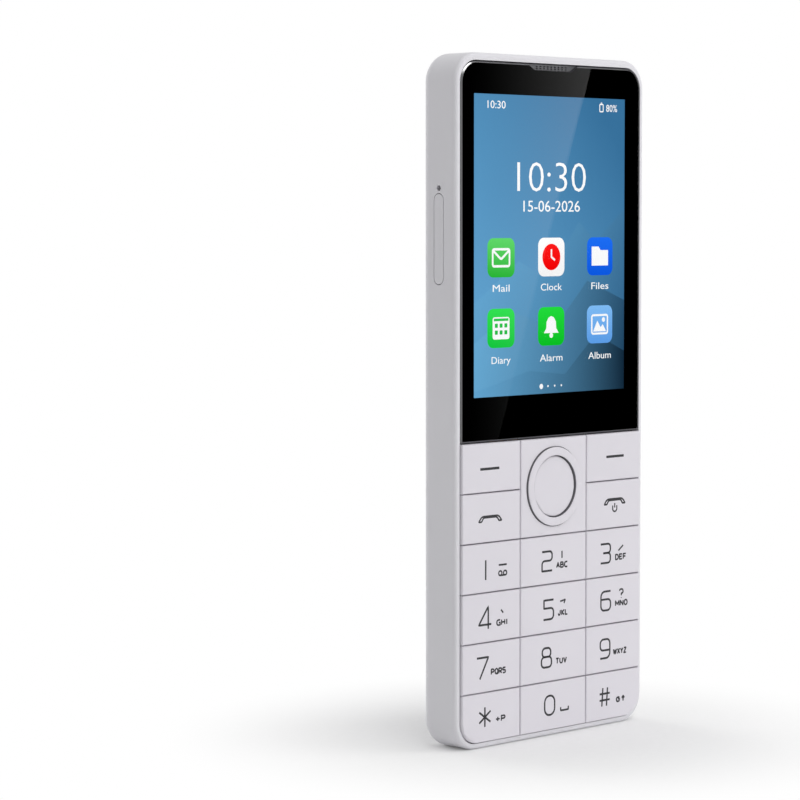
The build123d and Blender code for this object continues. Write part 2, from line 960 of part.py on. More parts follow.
# Bottom board with the charging port, microphone and loudspeaker
with BuildPart() as bottom_board:
    block(
        -bottom_board_half,
        bottom_board_half,
        bottom_board_low,
        bottom_board_high,
        bottom_board_front,
        bottom_board_back,
        cut=bottom_board_corner,
    )
    drill(posts_at, screw_radius + screw_hole_gap, bottom_board_front, bottom_board_back, sides=screw_sides)
save(bottom_board, "bottom_board")

with BuildPart() as usb_port:
    with BuildSketch(Plane.XY.offset(port_sink)):
        with Locations((0, front_y + port_depth)):
            SlotOverall(port_width, port_height)
    extrude(amount=port_length)
    with BuildSketch(Plane.XY.offset(port_sink)):
        with Locations((0, front_y + port_depth)):
            SlotOverall(port_width - 2 * port_sheet, port_height - 2 * port_sheet)
    extrude(amount=port_length - port_sheet, mode=Mode.SUBTRACT)
save(usb_port, "usb_port")

with BuildPart() as usb_tongue:
    with BuildSketch(Plane.XY.offset(port_sink + tongue_sink)):
        with Locations((0, front_y + port_depth)):
            Rectangle(tongue_width, tongue_thickness)
    extrude(amount=port_length - port_sheet - tongue_sink)
save(usb_tongue, "usb_tongue")

with BuildPart() as microphone:
    block(
        microphone_x - microphone_width / 2,
        microphone_x + microphone_width / 2,
        bottom_board_low,
        bottom_board_low + microphone_length,
        bottom_board_front - microphone_height,
        bottom_board_front,
    )
save(microphone, "microphone")

with BuildPart() as loudspeaker:
    block(
        speaker_left,
        speaker_right,
        bottom_board_low,
        bottom_board_high,
        web_back + part_gap,
        bottom_board_front,
        cut=bottom_board_corner,
    )
save(loudspeaker, "loudspeaker")

with BuildPart() as speaker_mesh:
    block(
        speaker_left + pocket_gap,
        speaker_right - pocket_gap,
        bottom_rim,
        bottom_rim + speaker_mesh_thickness,
        web_back + pocket_gap,
        frame_back - part_gap,
    )
save(speaker_mesh, "speaker_mesh")

# Flex that joins the two boards behind the battery
link_left = right_post_x + boss_radius + connector_inset
link_right = link_left + link_width
link_back = inner_back - part_gap
link_front = link_back - flex_thickness
with BuildPart() as link_flex:
    block(
        link_left,
        link_right,
        bottom_board_low + connector_inset,
        connector_high,
        link_front,
        link_back,
    )
    back_connector(link_left, link_right, board_bottom + connector_inset, board_back, link_front)
    back_connector(link_left, link_right, bottom_board_low + connector_inset, bottom_board_back, link_front)
save(link_flex, "link_flex")
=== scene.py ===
# %% [markdown]
# # A bar phone with a big screen and a tiled keypad
#
# This lesson dresses a small phone for a studio picture. The solid parts come from CAD as a fixed
# frame, in metres, with the joints already in it. Blender adds what a solid can't carry: the finishes,
# the lit picture behind the glass, and the signs printed on the keys.

# %% Load the frame
import json
import math
import bmesh
import bpy
from mathutils import Matrix, Vector


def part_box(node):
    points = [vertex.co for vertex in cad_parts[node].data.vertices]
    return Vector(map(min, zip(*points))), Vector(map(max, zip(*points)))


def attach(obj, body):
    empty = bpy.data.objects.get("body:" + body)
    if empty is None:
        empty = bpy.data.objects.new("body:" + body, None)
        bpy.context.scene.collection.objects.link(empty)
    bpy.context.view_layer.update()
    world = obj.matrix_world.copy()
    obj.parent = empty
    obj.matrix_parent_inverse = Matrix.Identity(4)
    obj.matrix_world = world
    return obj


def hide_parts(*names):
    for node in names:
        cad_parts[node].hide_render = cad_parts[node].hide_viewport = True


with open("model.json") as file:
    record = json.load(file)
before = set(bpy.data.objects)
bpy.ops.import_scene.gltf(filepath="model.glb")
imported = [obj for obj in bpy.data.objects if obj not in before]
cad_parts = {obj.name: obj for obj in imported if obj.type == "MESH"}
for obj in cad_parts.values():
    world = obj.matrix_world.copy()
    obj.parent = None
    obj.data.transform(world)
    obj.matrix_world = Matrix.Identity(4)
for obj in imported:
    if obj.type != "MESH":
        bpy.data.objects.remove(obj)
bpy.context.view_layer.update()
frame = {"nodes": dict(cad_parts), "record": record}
nodes = frame["nodes"]
mm = 0.001

# %% [markdown]
# ## Camera
#
# A long lens from about half a metre flattens the perspective, as product pictures do. The camera could
# be aimed with a Track To constraint, but its place, turn, tilt and roll were worked out from the
# straight edges of the phone, so they are written into its matrix in that order.

# %% Place the camera
scene = bpy.context.scene
lens = bpy.data.cameras.new("studio_camera")
lens.sensor_width = 36.0
lens.lens = 127.03
camera = bpy.data.objects.new("studio_camera", lens)
scene.collection.objects.link(camera)
camera.matrix_world = (
    Matrix.Translation(Vector((-400.67, -371.30, 100.19)) * mm)
    @ Matrix.Rotation(math.radians(-44.411), 4, "Z")
    @ Matrix.Rotation(math.radians(90.0 - 3.6872), 4, "X")
    @ Matrix.Rotation(math.radians(-0.0609), 4, "Z")
)
scene.camera = camera
scene.view_settings.view_transform = "Standard"
print("camera at", [round(value, 4) for value in camera.matrix_world.translation], "lens", lens.lens)

# %% [markdown]
# ## Nodes and colours
#
# Every finish below is a small node tree. Two helpers keep them readable: one turns the hex colours of
# a colour picker into the linear numbers that sockets take, and one adds a node, sets it and links it.

# %% Helpers for finishes
def linear(hex_colour):
    """An sRGB hex colour as the linear RGBA of a colour socket."""
    channels = [int(hex_colour[i : i + 2], 16) / 255 for i in (1, 3, 5)]
    return [c / 12.92 if c <= 0.04045 else ((c + 0.055) / 1.055) ** 2.4 for c in channels] + [1.0]


def add_node(tree, kind, sockets=None, **settings):
    """Adds one node; a socket given as another node's output is linked, and any other value is set."""
    node = tree.nodes.new("ShaderNode" + kind)
    for name, value in settings.items():
        setattr(node, name, value)
    for name, value in (sockets or {}).items():
        if isinstance(value, bpy.types.NodeSocket):
            tree.links.new(value, node.inputs[name])
        else:
            node.inputs[name].default_value = value
    return node


def start_finish(name, **numbers):
    """A new material with its Principled surface set, and its Object coordinates, ready for a pattern."""
    material = bpy.data.materials.new(name)
    material.use_nodes = True
    tree = material.node_tree
    surface = tree.nodes["Principled BSDF"]
    for socket, value in numbers.items():
        surface.inputs[socket.replace("_", " ")].default_value = value
    return material, tree, surface.inputs, add_node(tree, "TexCoord").outputs["Object"]


def per_mm(size):
    """The texture scale that makes one feature of a pattern this many millimetres wide."""
    return 1000.0 / size


print("white is", linear("#ffffff"), "and a 0.5 mm pattern has scale", per_mm(0.5))

# %% [markdown]
# ## World, floor and lamps
#
# A catalogue picture has a white ground with only a soft shadow. More light would burn out the pale
# plastic, so the white is made by the Light Path node: rays from the camera, and those that gloss and
# glass send on, meet pure white, while the rays that light the phone meet a dimmer sky.

# %% Make the world
def shown_rays(tree):
    """1 for the rays that meet the white ground: those of the camera, of gloss and of glass."""
    rays = add_node(tree, "LightPath").outputs
    seen = add_node(tree, "Math", {0: rays["Is Camera Ray"], 1: rays["Is Glossy Ray"]}, operation="MAXIMUM")
    seen = add_node(tree, "Math", {0: seen.outputs[0], 1: rays["Is Transmission Ray"]}, operation="MAXIMUM")
    return seen.outputs[0]


sky = bpy.data.worlds.new("studio_sky")
sky.use_nodes = True
scene.world = sky
sky_level = 0.38
strength = add_node(
    sky.node_tree, "MapRange", {"Value": shown_rays(sky.node_tree), "To Min": sky_level, "To Max": 1.0}
)
backdrop = sky.node_tree.nodes["Background"]
backdrop.inputs["Color"].default_value = linear("#ffffff")
sky.node_tree.links.new(strength.outputs["Result"], backdrop.inputs["Strength"])
print("sky lights at", sky_level, "and shows at 1")

# %% [markdown]
# The floor is a wide sheet of pale paper. Near the phone it is plain matt paper, which takes the
# shadow, and further out it fades into the white of the sky, so no horizon shows.

# %% Lay the floor
paper, tree, surface, place = start_finish("matt_studio_paper", Roughness=0.9)
fibre = add_node(tree, "TexNoise", {"Vector": place, "Scale": per_mm(1.5), "Detail": 3.0})
tint = add_node(
    tree, "Mix", {0: fibre.outputs["Fac"], 6: linear("#f3f3f3"), 7: linear("#f9f9f9")}, data_type="RGBA"
)
tree.links.new(tint.outputs[2], surface["Base Color"])
fade_start, fade_end = 12 * mm, 75 * mm
reach = add_node(tree, "VectorMath", {0: place}, operation="LENGTH")
fade = add_node(
    tree,
    "MapRange",
    {"Value": reach.outputs["Value"], "From Min": fade_start, "From Max": fade_end},
    interpolation_type="SMOOTHSTEP",
)
fade = add_node(tree, "Math", {0: fade.outputs["Result"], 1: shown_rays(tree)}, operation="MULTIPLY")
white = add_node(tree, "Emission", {"Color": linear("#ffffff"), "Strength": 1.0})
blend = add_node(
    tree,
    "MixShader",
    {0: fade.outputs[0], 1: tree.nodes["Principled BSDF"].outputs[0], 2: white.outputs[0]},
)
tree.links.new(blend.outputs[0], tree.nodes["Material Output"].inputs["Surface"])

# The paper lies a hair below the foot of the phone, so that the two faces don't flicker.
paper_level = -0.02 * mm
sheet = bmesh.new()
bmesh.ops.create_grid(
    sheet, x_segments=1, y_segments=1, size=1.5, matrix=Matrix.Translation((0.0, 0.0, paper_level))
)
floor_mesh = bpy.data.meshes.new("floor")
sheet.to_mesh(floor_mesh)
sheet.free()
floor_mesh.materials.append(paper)
floor = bpy.data.objects.new("floor", floor_mesh)
scene.collection.objects.link(floor)
print("floor of", floor.dimensions.x, "m")

# %% [markdown]
# Soft boxes model the form. The main one stands at the right front, so the keys are bright, while the left
# side and the rounded edge beside it stay a shade darker. One hangs overhead and lights the top and the
# floor, and one stands behind for the back. The last is a narrow strip, turned to follow the ground corner
# of the glass, and only this one may be mirrored, because a square lamp in the glass would look like a
# window.

# %% Hang the lamps
lamp_target = Vector((0.0, 0.0, 0.07))
# Each lamp's name, place in m, width and height in m, roll in degrees and power in W.
for name, spot, width, height, roll, power in (
    ("right_soft_box", (0.85, -0.96, 0.30), 0.7, 0.7, 0.0, 7.8),
    ("overhead_soft_box", (0.10, 0.12, 1.25), 0.7, 0.7, 0.0, 1.4),
    ("rear_soft_box", (0.0, 1.30, 0.30), 0.7, 0.7, 0.0, 7.0),
    ("corner_strip", (-0.14, -0.47, 1.00), 1.4, 0.08, 42.0, 3.6),
):
    lamp = bpy.data.lights.new(name, "AREA")
    lamp.shape = "RECTANGLE"
    lamp.size = width
    lamp.size_y = height
    lamp.energy = power
    holder = bpy.data.objects.new(name, lamp)
    scene.collection.objects.link(holder)
    aim = lamp_target - Vector(spot)
    turn = aim.to_track_quat("-Z", "Y").to_matrix().to_4x4() @ Matrix.Rotation(math.radians(roll), 4, "Z")
    holder.matrix_world = Matrix.Translation(spot) @ turn
    holder.visible_glossy = holder.visible_transmission = name == "corner_strip"
    print(name, power, "W at", spot)

# %% [markdown]
# Polished glass shows whatever stands in front of it. Studios set a black card there, so that the glass
# looks deep, and let a lit panel run across it as a sheen. This card is seen only in gloss and glass: it
# takes no light from the phone and casts no shadow. Its sheen grows brighter to the right and stops at a
# slanting line, and its border fades into the white round it, so that no edge of it shows from other sides.

# %% Set the reflection card
# The sheen along x in m: where it starts, where it is full, how steeply it grows and how bright it gets.
sheen_start, sheen_full, sheen_curve, sheen_level = 0.2784, 0.3385, 1.9, 0.62
# It ends at the slanting line where x + line_slant * z is line_end.
line_slant, line_end = -0.3678, 0.28634
card_middle, card_size, card_border = (0.325, -0.300, 0.090), (0.15, 0.19), 0.025

card_paper = bpy.data.materials.new("black_card_with_lit_panel")
card_paper.use_nodes = True
tree = card_paper.node_tree
place = add_node(tree, "TexCoord").outputs["Object"]
along = add_node(tree, "SeparateXYZ", {0: place}).outputs
ramp = add_node(tree, "MapRange", {"Value": along["X"], "From Min": sheen_start, "From Max": sheen_full})
curve = add_node(tree, "Math", {0: ramp.outputs["Result"], 1: sheen_curve}, operation="POWER")
across = add_node(tree, "VectorMath", {0: place, 1: (1.0, 0.0, line_slant)}, operation="DOT_PRODUCT")
lit_side = add_node(tree, "Math", {0: across.outputs["Value"], 1: line_end}, operation="LESS_THAN")
glow = add_node(tree, "Math", {0: curve.outputs[0], 1: lit_side.outputs[0]}, operation="MULTIPLY")
glow = add_node(tree, "Math", {0: glow.outputs[0], 1: sheen_level}, operation="MULTIPLY")
for axis, middle, size in (("X", card_middle[0], card_size[0]), ("Z", card_middle[2], card_size[1])):
    off = add_node(tree, "Math", {0: along[axis], 1: middle}, operation="SUBTRACT")
    off = add_node(tree, "Math", {0: off.outputs[0]}, operation="ABSOLUTE")
    border = add_node(
        tree,
        "MapRange",
        {"Value": off.outputs[0], "From Min": size / 2 - card_border, "From Max": size / 2},
        interpolation_type="SMOOTHSTEP",
    )
    glow = add_node(tree, "Math", {0: glow.outputs[0], 1: border.outputs["Result"]}, operation="MAXIMUM")
lit = add_node(tree, "Emission", {"Color": linear("#ffffff"), "Strength": glow.outputs[0]})
tree.links.new(lit.outputs[0], tree.nodes["Material Output"].inputs["Surface"])

board = bmesh.new()
bmesh.ops.create_grid(board, x_segments=1, y_segments=1, size=0.5)
bmesh.ops.transform(
    board,
    verts=board.verts,
    matrix=Matrix.Translation(card_middle)
    @ Matrix.Rotation(math.pi / 2, 4, "X")
    @ Matrix.Diagonal((*card_size, 1.0, 1.0)),
)
card_mesh = bpy.data.meshes.new("reflection_card")
board.to_mesh(card_mesh)
board.free()
card_mesh.materials.append(card_paper)
card = bpy.data.objects.new("reflection_card", card_mesh)
scene.collection.objects.link(card)
card.visible_camera = False
card.visible_diffuse = False
card.visible_shadow = False
print("card of", [round(side, 3) for side in card.dimensions])

# %% [markdown]
# ## Plastics
#
# The shell and the caps are injection-moulded ABS with a satin spark-eroded texture. To the eye that is
# a soft, slightly broken highlight on a pale grey with a breath of lilac. The grain of such a mould is
# about 0.06 mm, too fine to show here, so it is drawn at 0.3 mm. A second, broad noise stands for the
# faint flow clouds of any large moulding.

# %% Satin plastics
def moulded(name, pale, deep, grain, rough, depth):
    """Moulded plastic: broad clouds between two close colours, and a fine grain in gloss and height."""
    material, tree, surface, place = start_finish(name, IOR=1.46)
    clouds = add_node(tree, "TexNoise", {"Vector": place, "Scale": per_mm(22.0), "Detail": 2.0})
    tint = add_node(
        tree, "Mix", {0: clouds.outputs["Fac"], 6: linear(pale), 7: linear(deep)}, data_type="RGBA"
    )
    tree.links.new(tint.outputs[2], surface["Base Color"])
    fine = add_node(tree, "TexNoise", {"Vector": place, "Scale": per_mm(grain), "Detail": 2.0})
    gloss = add_node(
        tree,
        "MapRange",
        {
            "Value": fine.outputs["Fac"],
            "From Min": 0.3,
            "From Max": 0.7,
            "To Min": rough - 0.05,
            "To Max": rough + 0.05,
        },
    )
    tree.links.new(gloss.outputs["Result"], surface["Roughness"])
    relief = add_node(tree, "Bump", {"Height": fine.outputs["Fac"], "Strength": 0.6, "Distance": depth * mm})
    tree.links.new(relief.outputs["Normal"], surface["Normal"])
    return material


satin_abs = moulded("satin_moulded_abs", "#e0dfe3", "#d9d8dd", 0.3, 0.42, 0.004)
key_abs = moulded("satin_key_abs", "#dedbe1", "#d8d5dc", 0.3, 0.36, 0.003)
# The walls of the ring round the navigation key take a darker grey of the same plastic: painted shade for the
# narrow groove, on every side of the ring alike.
painted_ring_shade = moulded("painted_shade_nav_wall_abs", "#77767b", "#6c6b70", 0.3, 0.5, 0.003)
black_nylon = moulded("glass_filled_black_nylon", "#1d1d1f", "#161618", 0.4, 0.55, 0.006)
black_pbt = moulded("black_moulded_pbt", "#202022", "#19191b", 0.35, 0.45, 0.004)
print("plastics:", satin_abs.name, key_abs.name, painted_ring_shade.name, black_nylon.name, black_pbt.name)

# %% [markdown]
# The web between the keys and the rocker under the navigation tile are silicone rubber: milky, softly
# lit from inside, with a dry surface. Subsurface scattering gives the milkiness.

# %% Silicone
silicone, tree, surface, place = start_finish(
    "milky_silicone_rubber", Roughness=0.6, IOR=1.41, Subsurface_Weight=0.2, Subsurface_Scale=0.0008
)
bloom = add_node(tree, "TexNoise", {"Vector": place, "Scale": per_mm(3.0), "Detail": 3.0})
tint = add_node(
    tree, "Mix", {0: bloom.outputs["Fac"], 6: linear("#b9b9bf"), 7: linear("#a9a9b0")}, data_type="RGBA"
)
tree.links.new(tint.outputs[2], surface["Base Color"])
relief = add_node(tree, "Bump", {"Height": bloom.outputs["Fac"], "Strength": 0.3, "Distance": 0.02 * mm})
tree.links.new(relief.outputs["Normal"], surface["Normal"])
print("rubber:", silicone.name)

# %% [markdown]
# ## Glass, films and the mesh
#
# The front is one sheet of polished soda-lime glass, so it is clear, and what looks like a black frame
# is a printed film behind it. A trace of waviness in the roughness is all that a clean sheet shows. Its
# bevelled edge is ground, so it is grey and takes a highlight.

# %% Glass
cover_glass, tree, surface, place = start_finish(
    "polished_cover_glass", Base_Color=linear("#ffffff"), Transmission_Weight=1.0, IOR=1.5
)
haze = add_node(tree, "TexNoise", {"Vector": place, "Scale": per_mm(9.0), "Detail": 2.0})
gloss = add_node(
    tree, "MapRange", {"Value": haze.outputs["Fac"], "To Min": 0.0, "To Max": 0.015}
)
tree.links.new(gloss.outputs["Result"], surface["Roughness"])
ground_edge, tree, surface, place = start_finish("ground_glass_edge", Roughness=0.1, IOR=1.9)
grit = add_node(tree, "TexNoise", {"Vector": place, "Scale": per_mm(0.4), "Detail": 2.0})
tint = add_node(
    tree, "Mix", {0: grit.outputs["Fac"], 6: linear("#4a4a4e"), 7: linear("#404044")}, data_type="RGBA"
)
tree.links.new(tint.outputs[2], surface["Base Color"])
print("glass:", cover_glass.name, ground_edge.name)

# %% [markdown]
# Foils and films come in rolls: black print film round the picture, clear PET over the key domes, white
# tape under the battery, and amber polyimide in the flexes. They share thin streaks along the roll.

# %% Films
def rolled(name, first, second, rough, streak, along):
    """A film off a roll: two close colours in streaks that are long in one direction."""
    material, tree, surface, place = start_finish(name, Roughness=rough, IOR=1.5)
    stretch = add_node(tree, "Mapping", {"Vector": place, "Scale": along})
    streaks = add_node(
        tree, "TexNoise", {"Vector": stretch.outputs[0], "Scale": per_mm(streak), "Detail": 3.0}
    )
    tint = add_node(
        tree, "Mix", {0: streaks.outputs["Fac"], 6: linear(first), 7: linear(second)}, data_type="RGBA"
    )
    tree.links.new(tint.outputs[2], surface["Base Color"])
    relief = add_node(
        tree, "Bump", {"Height": streaks.outputs["Fac"], "Strength": 0.3, "Distance": 0.003 * mm}
    )
    tree.links.new(relief.outputs["Normal"], surface["Normal"])
    return material


print_film = rolled("black_print_film", "#060607", "#030304", 0.5, 0.5, (1.0, 1.0, 0.1))
dome_pet = rolled("clear_pet_film", "#cfcfca", "#bdbdb8", 0.3, 0.6, (0.1, 1.0, 1.0))
white_tape = rolled("white_adhesive_tape", "#e6e5df", "#d8d7d0", 0.65, 0.8, (1.0, 1.0, 0.1))
amber_flex = rolled("amber_polyimide_flex", "#b4701f", "#9a5a14", 0.35, 0.5, (1.0, 1.0, 0.08))
print("films:", print_film.name, dome_pet.name, white_tape.name, amber_flex.name)

# %% [markdown]
# The earpiece and the loudspeaker sit behind a woven steel mesh, dyed dark. Two crossed waves give the
# over and under of the wires. The wires are 0.1 mm apart, drawn at 0.25 mm so that the weave shows. At
# scale 1 a Wave texture repeats about every 1 / pi units, so the scale is divided by pi.

# %% Woven mesh
dark_mesh, tree, surface, place = start_finish("dark_woven_mesh", Metallic=0.6, Roughness=0.45)
wires = per_mm(0.25) / math.pi
warp = add_node(tree, "TexWave", {"Vector": place, "Scale": wires}, bands_direction="X")
weft = add_node(tree, "TexWave", {"Vector": place, "Scale": wires}, bands_direction="Z")
weave = add_node(tree, "Math", {0: warp.outputs["Fac"], 1: weft.outputs["Fac"]}, operation="MULTIPLY")
tint = add_node(
    tree, "Mix", {0: weave.outputs[0], 6: linear("#4c4c4f"), 7: linear("#96969a")}, data_type="RGBA"
)
tree.links.new(tint.outputs[2], surface["Base Color"])
relief = add_node(tree, "Bump", {"Height": weave.outputs[0], "Strength": 0.6, "Distance": 0.05 * mm})
tree.links.new(relief.outputs["Normal"], surface["Normal"])
print("mesh:", dark_mesh.name)

# %% [markdown]
# ## Metals
#
# Cans, domes and lever are cold-rolled stainless steel with a fine brushed line, and the screws are
# nickel plated. The ejector rod, seen at the bottom of its pin hole, is given a near-black steel as painted
# shade, so that the hole reads dark. A metal's colour is its reflection, so the brushing goes into
# roughness and height.

# %% Metals
def brushed(name, bright, dull, rough, line, along):
    """A sheet metal whose brushing lines are a noise pulled long in one direction."""
    material, tree, surface, place = start_finish(name, Metallic=1.0)
    pull = add_node(tree, "Mapping", {"Vector": place, "Scale": along})
    lines = add_node(tree, "TexNoise", {"Vector": pull.outputs[0], "Scale": per_mm(line), "Detail": 4.0})
    tint = add_node(
        tree, "Mix", {0: lines.outputs["Fac"], 6: linear(bright), 7: linear(dull)}, data_type="RGBA"
    )
    tree.links.new(tint.outputs[2], surface["Base Color"])
    gloss = add_node(
        tree, "MapRange", {"Value": lines.outputs["Fac"], "To Min": rough - 0.08, "To Max": rough + 0.1}
    )
    tree.links.new(gloss.outputs["Result"], surface["Roughness"])
    relief = add_node(tree, "Bump", {"Height": lines.outputs["Fac"], "Strength": 0.3, "Distance": 0.004 * mm})
    tree.links.new(relief.outputs["Normal"], surface["Normal"])
    return material


stainless = brushed("brushed_stainless_steel", "#c9cacc", "#a9abae", 0.32, 0.12, (0.05, 1.0, 1.0))
nickel = brushed("nickel_plated_screw_steel", "#bcb9b2", "#a19e97", 0.28, 0.2, (1.0, 0.2, 1.0))
# The rod's near-black is painted shade for the bottom of its pin hole.
rod_painted_shade = brushed("painted_shade_rod_steel", "#2a2a2c", "#1c1c1e", 0.4, 0.12, (0.05, 1.0, 1.0))
print("metals:", stainless.name, nickel.name, rod_painted_shade.name)

# %% [markdown]
# ## Inside parts
#
# A circuit board is woven glass in epoxy under green solder mask, with copper tracks that show as
# lighter lines. The light guide is clear acrylic with a grid of printed dots. The cell is a pouch in
# dark wrap with soft creases. Each is a pattern of its real spacing.

# %% Board, light guide and cell
solder_mask, tree, surface, place = start_finish("green_solder_mask", Roughness=0.35, IOR=1.5)
turned = add_node(tree, "Mapping", {"Vector": place, "Rotation": (math.pi / 2, 0.0, 0.0)})
tracks = add_node(
    tree,
    "TexBrick",
    {
        "Vector": turned.outputs[0],
        "Color1": linear("#0f4a2b"),
        "Color2": linear("#125331"),
        "Mortar": linear("#2c7a4c"),
        "Scale": per_mm(1.0),
        "Mortar Size": 0.06,
        "Brick Width": 2.4,
        "Row Height": 0.6,
    },
)
tree.links.new(tracks.outputs["Color"], surface["Base Color"])
relief = add_node(tree, "Bump", {"Height": tracks.outputs["Fac"], "Strength": 0.5, "Distance": 0.02 * mm})
tree.links.new(relief.outputs["Normal"], surface["Normal"])

acrylic, tree, surface, place = start_finish("dotted_acrylic_guide", Roughness=0.2, IOR=1.49)
dots = add_node(tree, "TexVoronoi", {"Vector": place, "Scale": per_mm(0.6), "Randomness": 0.1})
tint = add_node(
    tree, "Mix", {0: dots.outputs["Distance"], 6: linear("#f4f5f6"), 7: linear("#d4d8dc")}, data_type="RGBA"
)
tree.links.new(tint.outputs[2], surface["Base Color"])

pouch, tree, surface, place = start_finish("dark_pouch_wrap", Roughness=0.38, IOR=1.5)
creases = add_node(
    tree, "TexNoise", {"Vector": place, "Scale": per_mm(8.0), "Detail": 4.0, "Distortion": 0.6}
)
tint = add_node(
    tree, "Mix", {0: creases.outputs["Fac"], 6: linear("#262628"), 7: linear("#1c1c1e")}, data_type="RGBA"
)
tree.links.new(tint.outputs[2], surface["Base Color"])
relief = add_node(tree, "Bump", {"Height": creases.outputs["Fac"], "Strength": 0.5, "Distance": 0.08 * mm})
tree.links.new(relief.outputs["Normal"], surface["Normal"])
print("inside:", solder_mask.name, acrylic.name, pouch.name)

# %% [markdown]
# ## The lit picture
#
# A liquid-crystal screen is its own lamp, so its colours are emission and nothing is mirrored in them.
# One helper makes a lit colour that shades from one point of the picture to another. Each pixel row is
# 0.06 mm, too fine to see, so a slow noise of a few percent stands for the uneven backlight.

# %% Lit colours
backlight_gain, unevenness = 1.1, 0.04
left_x, right_x, foot_z, top_z = -21.33, 21.33, 66.5, 123.4


def lit_colour(name, first, second, start, end):
    """A colour that glows, from first at point start to second at point end, both (x, z) in mm."""
    material, tree, surface, place = start_finish(
        name,
        Base_Color=linear("#000000"),
        Roughness=0.5,
        Specular_IOR_Level=0.0,
        Emission_Strength=backlight_gain,
    )
    way = Vector((end[0] - start[0], 0.0, end[1] - start[1])) * mm
    way /= way.length_squared
    begin = Vector((start[0], 0.0, start[1])).dot(way) * mm
    along = add_node(tree, "VectorMath", {0: place, 1: way}, operation="DOT_PRODUCT")
    slide = add_node(
        tree,
        "MapRange",
        {
            "Value": along.outputs["Value"],
            "From Min": begin,
            "From Max": begin + 1.0,
            "To Max": 1.0 - unevenness,
        },
    )
    uneven = add_node(tree, "TexNoise", {"Vector": place, "Scale": per_mm(14.0), "Detail": 1.0})
    slide = add_node(
        tree,
        "Math",
        {0: uneven.outputs["Fac"], 1: unevenness, 2: slide.outputs["Result"]},
        operation="MULTIPLY_ADD",
    )
    tint = add_node(
        tree, "Mix", {0: slide.outputs[0], 6: linear(first), 7: linear(second)}, data_type="RGBA"
    )
    tree.links.new(tint.outputs[2], surface["Emission Color"])
    return material


picture_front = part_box("display_panel")[0].y / mm
lcd_panel = lit_colour("lit_lcd_panel", "#4e8cb9", "#2a5a85", (0.0, top_z), (0.0, foot_z))
print("picture plane at y", round(picture_front, 3), "mm")

# %% [markdown]
# ## Finishes on the solids
#
# The record names a material slot for every solid, so one table from slot to finish dresses them all.

# %% Dress the solids
finishes = {
    "shell": satin_abs,
    "keycap": key_abs,
    "frame_black": black_nylon,
    "lens": cover_glass,
    "black_film": print_film,
    "screen": lcd_panel,
    "light_guide": acrylic,
    "steel": stainless,
    "mesh": dark_mesh,
    "silicone": silicone,
    "film": dome_pet,
    "board": solder_mask,
    "flex": amber_flex,
    "cell": pouch,
    "tape": white_tape,
    "screw": nickel,
    "black_part": black_pbt,
}
slot_of = {part["node"]: part["material_slot"] for part in frame["record"]["subparts"]}
# Each solid takes its slot's finish, except the ejector rod, which takes the near-black steel as painted
# shade for its pin hole.
for name, solid in nodes.items():
    solid.data.materials.clear()
    solid.data.materials.append(rod_painted_shade if name == "eject_rod" else finishes[slot_of[name]])
print("dressed", len(nodes), "solids in", len(set(slot_of.values())), "finishes")

# %% [markdown]
# ## Smooth skins
#
# CAD solids arrive as loose flat triangles, so a rounded edge would show its facets. The shown rounded
# parts get a skin: a copy whose corners are merged, shaded smooth except across real edges, and evened
# out by a Weighted Normal modifier, so that the wide flat faces stay flat. The size is unchanged.

# %% Skin the rounded parts
# A glass face turned further than this from the viewer is its ground edge; a face of the navigation tile
# this steep, and this near its middle, is a wall of the ring, and it takes a darker grey that paints the
# shade of the narrow groove.
glass_facing, wall_facing, ring_reach = 0.99, 0.3, 8.5 * mm


def smooth_skin(node, body, sharp):
    """A smooth-shaded copy of a solid that stands for it; edges over the sharp angle stay crisp."""
    shape = bmesh.new()
    shape.from_mesh(nodes[node].data)
    bmesh.ops.remove_doubles(shape, verts=shape.verts, dist=0.0005 * mm)
    for face in shape.faces:
        face.smooth = True
    mesh = bpy.data.meshes.new(node + "_skin")
    shape.to_mesh(mesh)
    shape.free()
    if "custom_normal" in mesh.attributes:
        mesh.attributes.remove(mesh.attributes["custom_normal"])
    mesh.set_sharp_from_angle(angle=math.radians(sharp))
    mesh.materials.clear()
    mesh.materials.append(finishes[slot_of[node]])
    if node == "cover_glass":
        mesh.materials.append(ground_edge)
        for face in mesh.polygons:
            face.material_index = 1 if abs(face.normal.y) < glass_facing else 0
    # The ring's steep walls take the darker grey: painted shade for the groove.
    if node == "nav_pad":
        mesh.materials.append(painted_ring_shade)
        low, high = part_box(node)
        for face in mesh.polygons:
            near = (face.center - (low + high) / 2).xz.length < ring_reach
            face.material_index = 1 if near and abs(face.normal.y) < wall_facing else 0
    skin = bpy.data.objects.new(node + "_skin", mesh)
    scene.collection.objects.link(skin)
    even = skin.modifiers.new("even_shading", "WEIGHTED_NORMAL")
    even.keep_sharp = True
    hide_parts(node)
    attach(skin, body)
    print(skin.name, len(mesh.vertices), "corners")


for node, body in (("housing", "body"), ("cover_glass", "body"), ("sim_tray", "sim_tray")):
    smooth_skin(node, body, 30.0)
for node in [name for name in nodes if slot_of[name] == "keycap"]:
    smooth_skin(node, node, 50.0)

# %% [markdown]
# ## Drawing with plates, pens and words
#
# What is printed or lit is thin, but it still is a solid piece here, so that it shows from any side.
# All drawings are made in millimetres, flat on the ground, and then stood up to face the viewer.

# %% Plates and how they are stood up
plate_thickness, ink_thickness = 0.01, 0.02


def upright(x, y, z):
    """Stands a flat drawing in mm up to face the viewer, with its middle at (x, y, z) mm."""
    turn = Matrix.Rotation(math.pi / 2, 4, "X")
    return Matrix.Translation(Vector((x, y, z)) * mm) @ turn @ Matrix.Scale(mm, 4)


